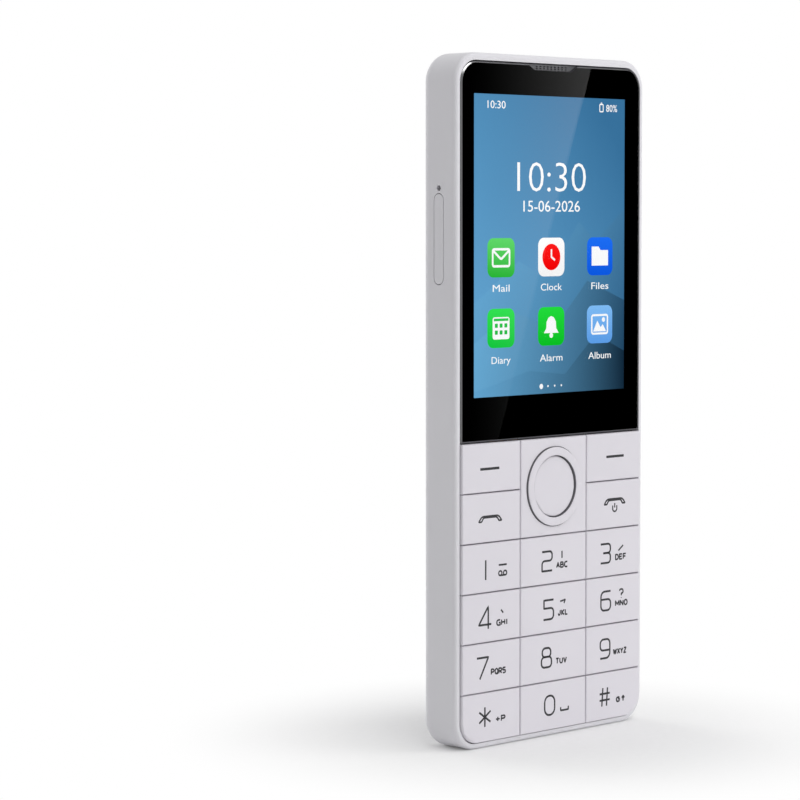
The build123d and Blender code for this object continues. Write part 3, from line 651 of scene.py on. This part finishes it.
def thicken(shape, name):
    """A mesh that gives a flat drawing of one face the thickness of a plate, in the same order each run."""
    (face,) = shape.faces
    outline = [tuple(corner.co.xy) for corner in face.verts]
    shape.free()
    count = len(outline)
    corners = [(x, y, height) for height in (0.0, plate_thickness) for x, y in outline]
    sides = [(i, (i + 1) % count, (i + 1) % count + count, i + count) for i in range(count)]
    mesh = bpy.data.meshes.new(name)
    mesh.from_pydata(corners, [], [tuple(reversed(range(count))), tuple(range(count, 2 * count)), *sides])
    return mesh


def round_plate(width, height, corner):
    """A flat plate with rounded corners."""
    shape = bmesh.new()
    bmesh.ops.create_grid(shape, x_segments=1, y_segments=1, size=0.5)
    bmesh.ops.scale(shape, verts=shape.verts, vec=(width, height, 1.0))
    if corner > 0:
        bmesh.ops.bevel(
            shape, geom=shape.verts[:], offset=corner, segments=8, profile=0.5, affect="VERTICES", material=-1
        )
    return thicken(shape, "round_plate")


def disc(radius):
    """A flat round plate."""
    shape = bmesh.new()
    bmesh.ops.create_circle(shape, cap_ends=True, segments=32, radius=radius)
    return thicken(shape, "disc")


def cut_plate(corners):
    """A flat plate cut along straight lines between its corners."""
    shape = bmesh.new()
    shape.faces.new([shape.verts.new((x, y, 0.0)) for x, y in corners])
    return thicken(shape, "cut_plate")


def piece(name, body, material, drawings):
    """Joins (mesh, matrix) drawings into one piece of one material that rides on a body."""
    joined = bmesh.new()
    for mesh, matrix in drawings:
        part = mesh.copy()
        part.transform(matrix)
        joined.from_mesh(part)
        bpy.data.meshes.remove(part)
    whole = bpy.data.meshes.new(name)
    joined.to_mesh(whole)
    joined.free()
    whole.materials.append(material)
    made = bpy.data.objects.new(name, whole)
    scene.collection.objects.link(made)
    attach(made, body)
    print(name, "with", len(whole.polygons), "faces rides on", body)


# %% [markdown]
# A pen line is a Bezier curve with a round bevel. A rounded corner takes two knots, one at each end of
# its arc, with handles of 0.5523 of the radius, which is the known length for a quarter circle. The
# curve becomes a mesh and is pressed almost flat, like ink.

# %% Pen lines
arc_handle = 0.5523


def pen(lines, width):
    """Pen lines in mm: each is (corners, closed), a corner is (x, y, radius), pressed to a thin ink film."""
    curve = bpy.data.curves.new("pen", "CURVE")
    curve.dimensions = "3D"
    curve.resolution_u = 6
    curve.bevel_depth = width / 2
    curve.bevel_resolution = 1
    curve.use_fill_caps = True
    for corners, closed in lines:
        knots = []
        for i, (x, y, radius) in enumerate(corners):
            here = Vector((x, y, 0.0))
            if radius == 0 or (not closed and i in (0, len(corners) - 1)):
                knots.append((here, here, here))
                continue
            back = (Vector((*corners[i - 1][:2], 0.0)) - here).normalized()
            ahead = (Vector((*corners[(i + 1) % len(corners)][:2], 0.0)) - here).normalized()
            enter, leave = here + back * radius, here + ahead * radius
            knots.append((enter, enter, enter - back * radius * arc_handle))
            knots.append((leave, leave - ahead * radius * arc_handle, leave))
        line = curve.splines.new("BEZIER")
        line.bezier_points.add(len(knots) - 1)
        line.use_cyclic_u = closed
        for point, (knot, left, right) in zip(line.bezier_points, knots):
            point.handle_left_type = point.handle_right_type = "FREE"
            point.co, point.handle_left, point.handle_right = knot, left, right
    return as_mesh(curve, ink_thickness / width)


def as_mesh(curve, press):
    """Turns a curve or text into a mesh and presses its thickness."""
    holder = bpy.data.objects.new("drawing", curve)
    scene.collection.objects.link(holder)
    bpy.context.view_layer.update()
    mesh = bpy.data.meshes.new_from_object(holder.evaluated_get(bpy.context.evaluated_depsgraph_get()))
    bpy.data.objects.remove(holder)
    mesh.transform(Matrix.Diagonal((1.0, 1.0, press, 1.0)))
    return mesh


# %% [markdown]
# Words use Blender's built-in font. A text is made, turned into a mesh, and fitted to the height of its
# capitals and to the width of the whole word, which also lets a wide font stand in for a narrow one.

# %% Words
font_capital = 0.729


def words(text, width, capital, weight=0.0):
    """A word as a mesh about its middle: width mm wide, with capitals this many mm tall."""
    letters = bpy.data.curves.new("words", "FONT")
    letters.body = text
    letters.resolution_u = 3
    letters.offset = weight
    letters.extrude = 0.5
    mesh = as_mesh(letters, ink_thickness)
    xs = [vertex.co.x for vertex in mesh.vertices]
    tall = capital / font_capital
    mesh.transform(
        Matrix.Diagonal((width / (max(xs) - min(xs)), tall, 1.0, 1.0))
        @ Matrix.Translation((-(max(xs) + min(xs)) / 2, -font_capital / 2, 0.0))
    )
    return mesh


heights = [vertex.co.y for vertex in words("H", 1.0, 1.0).vertices]
print("a capital of 1 mm comes out", round(max(heights) - min(heights), 3), "mm tall")

# %% [markdown]
# ## Picture on the screen
#
# The picture is a plain home page: a wallpaper of layered hills, a clock, and six tiles. The layers are
# thin plates about a hundredth of a millimetre apart, between the panel and the back of the glass.

# %% Wallpaper
layer_gap = 0.012
layer_names = ("sky", "far", "middle", "near", "tile", "glyph", "mark", "word")
layer = {name: picture_front - layer_gap * (i + 1) for i, name in enumerate(layer_names)}
sky_blue = lit_colour("lit_sky_blue", "#62a3d0", "#37709b", (left_x, 80.0), (right_x, 112.0))
sky_plate = round_plate(right_x - left_x, top_z - foot_z, 0.0)
sky_middle = (foot_z + top_z) / 2
piece("screen_sky", "body", sky_blue, [(sky_plate, upright(0.0, layer["sky"], sky_middle))])
far_ridge = ((left_x, 84.0), (-9.0, 92.0), (-1.0, 88.5), (8.0, 99.5), (13.0, 95.5), (right_x, 102.0))
middle_ridge = ((left_x, 76.5), (-11.0, 82.5), (1.0, 79.0), (10.5, 88.0), (right_x, 84.0))
near_ridge = ((left_x, 67.5), (-6.0, 71.0), (4.0, 70.0), (13.0, 77.5), (right_x, 74.0))
for name, ridge, first, second in (
    ("far", far_ridge, "#64a6d1", "#285a82"),
    ("middle", middle_ridge, "#68aad4", "#163a58"),
    ("near", near_ridge, "#62a4cf", "#0b1f31"),
):
    hill = cut_plate([(left_x, foot_z), (right_x, foot_z), *reversed(ridge)])
    colour = lit_colour("lit_" + name + "_hill", first, second, (left_x, ridge[0][1]), (right_x, foot_z))
    piece("screen_" + name + "_hill", "body", colour, [(hill, upright(0.0, layer[name], 0.0))])

# %% [markdown]
# The clock, the date and the status line are white words, and the labels under the tiles are plain
# everyday words.

# %% Words on the screen
white_light = lit_colour("lit_white", "#ffffff", "#f7f9fb", (0.0, top_z), (0.0, foot_z))
battery = [
    ([(-0.5, -0.75, 0.15), (0.5, -0.75, 0.15), (0.5, 0.65, 0.15), (-0.5, 0.65, 0.15)], True),
    ([(-0.2, 0.9, 0.0), (0.2, 0.9, 0.0)], False),
]
columns, rows = (-13.9, 0.1, 14.1), (92.7, 79.4)
labels = (("Mail", 4.6), ("Clock", 6.0), ("Files", 5.0)), (("Diary", 5.2), ("Alarm", 6.4), ("Album", 6.6))
lettering = [
    (words("10:30", 4.9, 1.5), -15.2, 121.5),
    (pen(battery, 0.22), 14.4, 121.6),
    (words("80%", 3.2, 1.44), 17.4, 121.6),
    (words("10:30", 19.4, 6.0, -0.012), 0.2, 108.2),
    (words("15-06-2026", 16.0, 2.2), 0.2, 102.5),
]
for row, z in zip(labels, (87.0, 73.4)):
    for (text, width), x in zip(row, columns):
        lettering.append((words(text, width, 1.4), x, z))
lettering += [(disc(0.5 if i == 0 else 0.2), -2.7 + 1.9 * i, 67.9) for i in range(4)]
placed_words = [(mesh, upright(x, layer["word"], z)) for mesh, x, z in lettering]
piece("screen_words", "body", white_light, placed_words)

# %% [markdown]
# Each tile is a rounded plate with its own lit colour, and carries one simple sign: an envelope, a
# clock face, a folder, a diary page, a bell and a picture.

# %% Tiles and their signs
tile_colours = (
    (("green", "#5fd868", "#1fb22f"), ("white", "#ffffff", "#f4f4f4"), ("blue", "#1d6ef5", "#0b57e0")),
    (("leaf", "#2fe04f", "#07c43a"), ("mint", "#22dc3c", "#08bd22"), ("pale", "#7fbcf5", "#5a9be6")),
)
tile_width, tile_height, tile_corner = 7.45, 7.4, 1.5
for colours, z in zip(tile_colours, rows):
    for (name, upper, lower), x in zip(colours, columns):
        top, foot = (x, z + tile_height / 2), (x, z - tile_height / 2)
        colour = lit_colour("lit_" + name + "_tile", upper, lower, top, foot)
        tile = round_plate(tile_width, tile_height, tile_corner)
        piece("screen_" + name + "_tile", "body", colour, [(tile, upright(x, layer["tile"], z))])

envelope_lines = [
    ([(-2.3, -1.6, 0.4), (2.3, -1.6, 0.4), (2.3, 1.6, 0.4), (-2.3, 1.6, 0.4)], True),
    ([(-2.1, 1.3, 0.0), (0.0, -0.3, 0.3), (2.1, 1.3, 0.0)], False),
]
envelope = pen(envelope_lines, 0.45)
folder = cut_plate([(-2.4, -1.8), (2.4, -1.8), (2.4, 1.2), (0.2, 1.2), (-0.4, 1.9), (-2.4, 1.9)])
page = round_plate(4.6, 4.2, 0.5)
bell_right = [(2.1, -1.3), (1.4, -0.4), (1.3, 0.9), (0.7, 1.7)]
bell_left = [(-x, z) for x, z in reversed(bell_right)]
bell = cut_plate([bell_left[-1], *bell_right, (0.0, 1.95), *bell_left[:-1]])
frame_line = pen([([(-2.3, -1.8, 0.4), (2.3, -1.8, 0.4), (2.3, 1.8, 0.4), (-2.3, 1.8, 0.4)], True)], 0.4)
peaks = cut_plate([(-1.9, -1.4), (1.9, -1.4), (0.9, 0.0), (0.3, -0.6), (-0.7, 0.7)])
signs = [
    (envelope, columns[0], rows[0]),
    (folder, columns[2], rows[0]),
    (page, columns[0], rows[1]),
    (bell, columns[1], rows[1]),
    (disc(0.5), columns[1], rows[1] - 1.75),
    (frame_line, columns[2], rows[1]),
    (peaks, columns[2], rows[1]),
    (disc(0.45), columns[2] + 1.1, rows[1] + 0.9),
]
placed_signs = [(mesh, upright(x, layer["glyph"], z)) for mesh, x, z in signs]
piece("screen_signs", "body", white_light, placed_signs)
red_light = lit_colour("lit_red", "#ff1a1a", "#f00000", (0.0, rows[0] + 2.5), (0.0, rows[0] - 2.5))
clock_face = [(disc(2.55), upright(columns[1], layer["glyph"], rows[0]))]
piece("screen_clock_disc", "body", red_light, clock_face)
hands = pen([([(0.0, 1.5, 0.0), (0.0, 0.0, 0.0), (1.0, -0.6, 0.0)], False)], 0.4)
clock_hands = [(hands, upright(columns[1], layer["mark"], rows[0]))]
piece("screen_clock_hands", "body", white_light, clock_hands)
leaf_light = lit_colour("lit_leaf_marks", "#22c64a", "#12b13a", (0.0, rows[1] + 2.0), (0.0, rows[1] - 2.0))
page_marks = [
    (round_plate(0.8, 0.8, 0.15), upright(columns[0] + dx, layer["mark"], rows[1] + dz))
    for dx in (-1.3, 0.0, 1.3)
    for dz in (0.5, -0.8)
]
page_marks.append((round_plate(4.0, 0.5, 0.1), upright(columns[0], layer["mark"], rows[1] + 1.6)))
piece("screen_page_marks", "body", leaf_light, page_marks)

# %% [markdown]
# ## Signs on the keys
#
# Keypads are printed with hard ink under a clear coat: charcoal lines of an even pen, a hair proud of the
# plastic. Every sign is its own piece and rides on its key, so it goes down with it.

# %% Ink
ink, tree, surface, place = start_finish("printed_charcoal_ink", Roughness=0.45, IOR=1.5)
screen_print = add_node(tree, "TexNoise", {"Vector": place, "Scale": per_mm(0.4), "Detail": 2.0})
tint = add_node(
    tree,
    "Mix",
    {0: screen_print.outputs["Fac"], 6: linear("#232328"), 7: linear("#19191d")},
    data_type="RGBA",
)
tree.links.new(tint.outputs[2], surface["Base Color"])

# The digits' pen lines in a box one unit wide and one tall; a third number rounds that corner.
digit_lines = {
    "1": [([(0.5, 0, 0), (0.5, 1, 0)], False)],
    "2": [([(0, 1, 0), (1, 1, 0.7), (1, 0.52, 0.7), (0, 0.52, 0.7), (0, 0, 0), (1, 0, 0)], False)],
    "3": [
        ([(0, 1, 0), (1, 1, 0.7), (1, 0.52, 0.7), (0.25, 0.52, 0)], False),
        ([(0.25, 0.52, 0), (1, 0.52, 0.7), (1, 0, 0.7), (0, 0, 0)], False),
    ],
    "4": [([(0.76, 0, 0), (0.76, 1, 0), (0, 0.2, 0), (1, 0.2, 0)], False)],
    "5": [([(1, 1, 0), (0.05, 1, 0), (0.05, 0.58, 0), (1, 0.58, 0.8), (1, 0, 0.8), (0, 0, 0)], False)],
    "6": [([(1, 1, 0), (0, 1, 1.1), (0, 0, 0.9), (1, 0, 0.9), (1, 0.58, 0.8), (0, 0.58, 0)], False)],
    "7": [([(0, 1, 0), (1, 1, 0), (0.25, 0, 0)], False)],
    "8": [
        ([(0.08, 1, 0.8), (0.92, 1, 0.8), (0.92, 0.54, 0.7), (0.08, 0.54, 0.7)], True),
        ([(0, 0.54, 0.8), (1, 0.54, 0.8), (1, 0, 0.8), (0, 0, 0.8)], True),
    ],
    "9": [([(1, 0.42, 0), (0, 0.42, 0.8), (0, 1, 0.9), (1, 1, 0.9), (1, 0, 1.1), (0, 0, 0)], False)],
    "0": [([(0, 1, 1.3), (1, 1, 1.3), (1, 0, 1.3), (0, 0, 1.3)], True)],
    "star": [
        ([(0.5, 0, 0), (0.5, 1, 0)], False),
        ([(0, 0.22, 0), (1, 0.78, 0)], False),
        ([(0, 0.78, 0), (1, 0.22, 0)], False),
    ],
    "hash": [
        ([(0.22, 0, 0), (0.32, 1, 0)], False),
        ([(0.68, 0, 0), (0.78, 1, 0)], False),
        ([(0, 0.33, 0), (1, 0.33, 0)], False),
        ([(0, 0.68, 0), (1, 0.68, 0)], False),
    ],
}

# The small capitals, in the same box; M and W are set wider, I and L narrower.
bowl = [(0, 0, 0), (0, 1, 0), (1, 1, 0.3), (1, 0.45, 0.3), (0, 0.45, 0)]
ring = [(0, 1, 0.4), (1, 1, 0.4), (1, 0, 0.4), (0, 0, 0.4)]
capital_lines = {
    "A": [([(0, 0, 0), (0.5, 1, 0), (1, 0, 0)], False), ([(0.2, 0.35, 0), (0.8, 0.35, 0)], False)],
    "B": [
        ([(0, 0.54, 0), (0, 1, 0), (0.9, 1, 0.25), (0.9, 0.54, 0.25)], True),
        ([(0, 0, 0), (0, 0.54, 0), (1, 0.54, 0.25), (1, 0, 0.25)], True),
    ],
    "C": [([(1, 1, 0), (0, 1, 0.4), (0, 0, 0.4), (1, 0, 0)], False)],
    "D": [([(0, 0, 0), (0, 1, 0), (1, 1, 0.45), (1, 0, 0.45)], True)],
    "E": [([(1, 1, 0), (0, 1, 0), (0, 0, 0), (1, 0, 0)], False), ([(0, 0.53, 0), (0.85, 0.53, 0)], False)],
    "F": [([(1, 1, 0), (0, 1, 0), (0, 0, 0)], False), ([(0, 0.5, 0), (0.85, 0.5, 0)], False)],
    "G": [([(1, 1, 0), (0, 1, 0.4), (0, 0, 0.4), (1, 0, 0), (1, 0.48, 0), (0.6, 0.48, 0)], False)],
    "H": [
        ([(0, 0, 0), (0, 1, 0)], False),
        ([(1, 0, 0), (1, 1, 0)], False),
        ([(0, 0.5, 0), (1, 0.5, 0)], False),
    ],
    "I": [([(0.5, 0, 0), (0.5, 1, 0)], False)],
    "J": [([(0.85, 1, 0), (0.85, 0, 0.4), (0.1, 0, 0.3), (0.1, 0.25, 0)], False)],
    "K": [([(0, 0, 0), (0, 1, 0)], False), ([(1, 1, 0), (0.1, 0.48, 0), (1, 0, 0)], False)],
    "L": [([(0, 1, 0), (0, 0, 0), (1, 0, 0)], False)],
    "M": [([(0, 0, 0), (0, 1, 0), (0.5, 0.3, 0), (1, 1, 0), (1, 0, 0)], False)],
    "N": [([(0, 0, 0), (0, 1, 0), (1, 0, 0), (1, 1, 0)], False)],
    "O": [(ring, True)],
    "P": [(bowl, False)],
    "Q": [(ring, True), ([(0.65, 0.3, 0), (1.05, -0.1, 0)], False)],
    "R": [(bowl, False), ([(0.45, 0.45, 0), (1, 0, 0)], False)],
    "S": [([(1, 1, 0), (0, 1, 0.27), (0, 0.52, 0.27), (1, 0.52, 0.27), (1, 0, 0.27), (0, 0, 0)], False)],
    "T": [([(0.5, 0, 0), (0.5, 1, 0)], False), ([(0, 1, 0), (1, 1, 0)], False)],
    "U": [([(0, 1, 0), (0, 0, 0.4), (1, 0, 0.4), (1, 1, 0)], False)],
    "V": [([(0, 1, 0), (0.5, 0, 0), (1, 1, 0)], False)],
    "W": [([(0, 1, 0), (0.25, 0, 0), (0.5, 0.8, 0), (0.75, 0, 0), (1, 1, 0)], False)],
    "X": [([(0, 0, 0), (1, 1, 0)], False), ([(0, 1, 0), (1, 0, 0)], False)],
    "Y": [([(0, 1, 0), (0.5, 0.45, 0), (1, 1, 0)], False), ([(0.5, 0.45, 0), (0.5, 0, 0)], False)],
    "Z": [([(0, 1, 0), (1, 1, 0), (0, 0, 0), (1, 0, 0)], False)],
    "+": [([(0.5, 0.05, 0), (0.5, 0.9, 0)], False), ([(0, 0.48, 0), (1, 0.48, 0)], False)],
}
capital_width = {"I": 0.35, "M": 1.25, "W": 1.35, "L": 0.85}
letter_gap = 0.45


def scaled(lines, left, width, height):
    """Pen lines from their unit box into one this wide and tall in mm, from left and about mid height."""
    return [
        ([(left + x * width, (y - 0.5) * height, r) for x, y, r in corners], closed)
        for corners, closed in lines
    ]


def digit(sign, width, height, line):
    """The pen lines of a digit, drawn about its middle at this size."""
    return pen(scaled(digit_lines[sign], -width / 2, width, height), line)


def capitals(text, width, height, line):
    """A word of small capitals, drawn about its middle, with gaps that are a share of a letter's width."""
    shares = [capital_width.get(letter, 1.0) for letter in text]
    unit = (width - line) / (sum(shares) + letter_gap * (len(text) - 1))
    left, lines = -(width - line) / 2, []
    for letter, share in zip(text, shares):
        lines += scaled(capital_lines[letter], left, share * unit, height - line)
        left += (share + letter_gap) * unit
    return pen(lines, line)


print("ink:", ink.name, "for", len(digit_lines) + len(capital_lines), "signs")

# %% [markdown]
# The layout follows a common keypad: a tall digit left of the middle, three or four letters beside its
# foot, and a small pen mark above the letters.

# %% Print the digit keys
question_bow = [(-0.5, 0.55, 0.2), (-0.5, 0.9, 0.3), (0.5, 0.9, 0.4), (0.5, 0.1, 0.3)]
small_marks = {
    "1": [([(-1.1, 0.0, 0), (1.1, 0.0, 0)], False)],
    "2": [([(0.0, -0.7, 0), (0.0, 0.7, 0)], False)],
    "3": [([(-0.7, -0.5, 0), (0.7, 0.5, 0)], False)],
    "4": [([(-0.3, 0.35, 0), (0.3, -0.3, 0)], False)],
    "5": [([(-0.75, 0.1, 0), (0.7, 0.35, 0), (0.35, -0.35, 0)], False)],
    "6": [(question_bow + [(0, 0.1, 0.1), (0, -0.35, 0)], False), ([(0, -0.75, 0), (0, -0.85, 0)], False)],
}
loops = [
    ([(-1.1, 0.4, 0.42), (-0.22, 0.4, 0.42), (-0.22, -0.44, 0.42), (-1.1, -0.44, 0.42)], True),
    ([(0.22, 0.4, 0.42), (1.1, 0.4, 0.42), (1.1, -0.44, 0.42), (0.22, -0.44, 0.42)], True),
    ([(-0.7, -0.44, 0), (0.7, -0.44, 0)], False),
]
gap_sign = [([(-1.1, 0.35, 0), (-1.1, -0.3, 0.12), (1.1, -0.3, 0.12), (1.1, 0.35, 0)], False)]
hook = [(-0.1, 0.35, 0.3), (-1.0, 0.35, 0.35), (-1.0, -0.45, 0.35), (-0.1, -0.45, 0.3)]
arrow = [
    ([(1.0, -0.5, 0), (1.0, 0.5, 0)], False),
    ([(0.62, 0.1, 0), (1.0, 0.5, 0), (1.38, 0.1, 0)], False),
    (hook + [(-0.1, 0.05, 0.0), (-0.55, 0.05, 0.0)], False),
]
# Drawn beside these signs instead of letters, with the width of the pen line.
beside = {"1": (loops, 0.33), "0": (gap_sign, 0.38), "hash": (arrow, 0.36)}
usual_size, digit_line = (2.85, 3.75), 0.41
capital_height, capital_line, mark_line = 1.3, 0.33, 0.36
sign_sizes = {"4": (3.4, 4.25), "7": (3.15, 4.05), "star": (3.1, 3.75), "hash": (3.0, 3.65)}


def key_face(node):
    """The middle of a key's front in mm, as x, z and the y of the face."""
    low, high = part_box(node)
    return (low.x + high.x) / 2 / mm, (low.z + high.z) / 2 / mm, low.y / mm


# Each key's node and sign, the sign's place from the middle, the letters and their width, their place, and
# the height of the small mark, all in mm.
keypad = (
    ("key_1", "1", -1.64, -0.39, "", 0.0, 3.01, -1.30, 0.27),
    ("key_2", "2", -1.94, -0.18, "ABC", 3.4, 2.32, -1.18, 0.81),
    ("key_3", "3", -2.33, -0.10, "DEF", 3.4, 2.20, -1.07, 0.66),
    ("key_4", "4", -1.82, 0.00, "GHI", 3.2, 2.86, -1.22, 0.84),
    ("key_5", "5", -1.51, -0.15, "JKL", 3.0, 2.58, -1.02, 1.06),
    ("key_6", "6", -2.22, -0.03, "MNO", 3.8, 2.43, -0.82, 1.00),
    ("key_7", "7", -2.44, -0.03, "PQRS", 4.2, 1.86, -0.97, 0.0),
    ("key_8", "8", -2.05, 0.05, "TUV", 3.3, 2.16, -0.91, 0.0),
    ("key_9", "9", -2.38, -0.04, "WXYZ", 4.1, 2.02, -0.90, 0.0),
    ("key_star", "star", -1.83, 0.09, "+P", 2.8, 2.45, -0.66, 0.0),
    ("key_0", "0", -1.11, 0.14, "", 0.0, 3.15, -0.95, 0.0),
    ("key_hash", "hash", -2.44, -0.15, "", 0.0, 2.08, -1.04, 0.0),
)
for node, sign, dx, dz, letters, width, letters_dx, letters_dz, mark_dz in keypad:
    x, z, face = key_face(node)
    letters_spot = upright(x + letters_dx, face, z + letters_dz)
    wide, tall = sign_sizes.get(sign, usual_size)
    drawings = [(digit(sign, wide, tall, digit_line), upright(x + dx, face, z + dz))]
    if letters:
        drawings.append((capitals(letters, width, capital_height, capital_line), letters_spot))
    if sign in small_marks:
        drawings.append((pen(small_marks[sign], mark_line), upright(x + letters_dx, face, z + mark_dz)))
    if sign in beside:
        drawings.append((pen(*beside[sign]), letters_spot))
    piece("legend_" + node, node, ink, drawings)

# %% [markdown]
# The four upper keys carry plain signs: a dash for each soft key, a lifted handset to call, and a handset
# with the on and off sign to end a call.

# %% Print the upper keys
def handset(width, line):
    """A handset seen from the side: a thin bar that opens into two hollow ears, drawn as one outline."""
    reach = width / 2 - line / 2
    outline = [(reach, -0.5, 0.1), (reach - 0.75, 0.5, 0.6), (0.75 - reach, 0.5, 0.6), (-reach, -0.5, 0.1)]
    outline += [(0.74 - reach, -0.5, 0.1), (1.3 - reach, 0.26, 0.35)]
    outline += [(reach - 1.3, 0.26, 0.35), (reach - 0.74, -0.5, 0.1)]
    return pen([(outline, True)], line)


power_lines = [
    ([(0.62, 0.45, 0), (0.62, -0.75, 0.6), (-0.62, -0.75, 0.6), (-0.62, 0.45, 0)], False),
    ([(0, 0.0, 0), (0, 0.9, 0)], False),
]
power_sign = pen(power_lines, 0.33)
dash = pen([([(-2.6, 0, 0), (2.6, 0, 0)], False)], 0.5)
for node, signs in (
    ("left_soft_key", [(dash, -0.55, -0.21)]),
    ("right_soft_key", [(dash, 0.39, 0.02)]),
    ("call_key", [(handset(6.55, 0.34), -0.41, -0.20)]),
    ("end_key", [(handset(6.5, 0.36), 0.33, 0.58), (power_sign, 0.35, -0.68)]),
):
    x, z, face = key_face(node)
    drawings = [(mesh, upright(x + dx, face, z + dz)) for mesh, dx, dz in signs]
    piece("legend_" + node, node, ink, drawings)
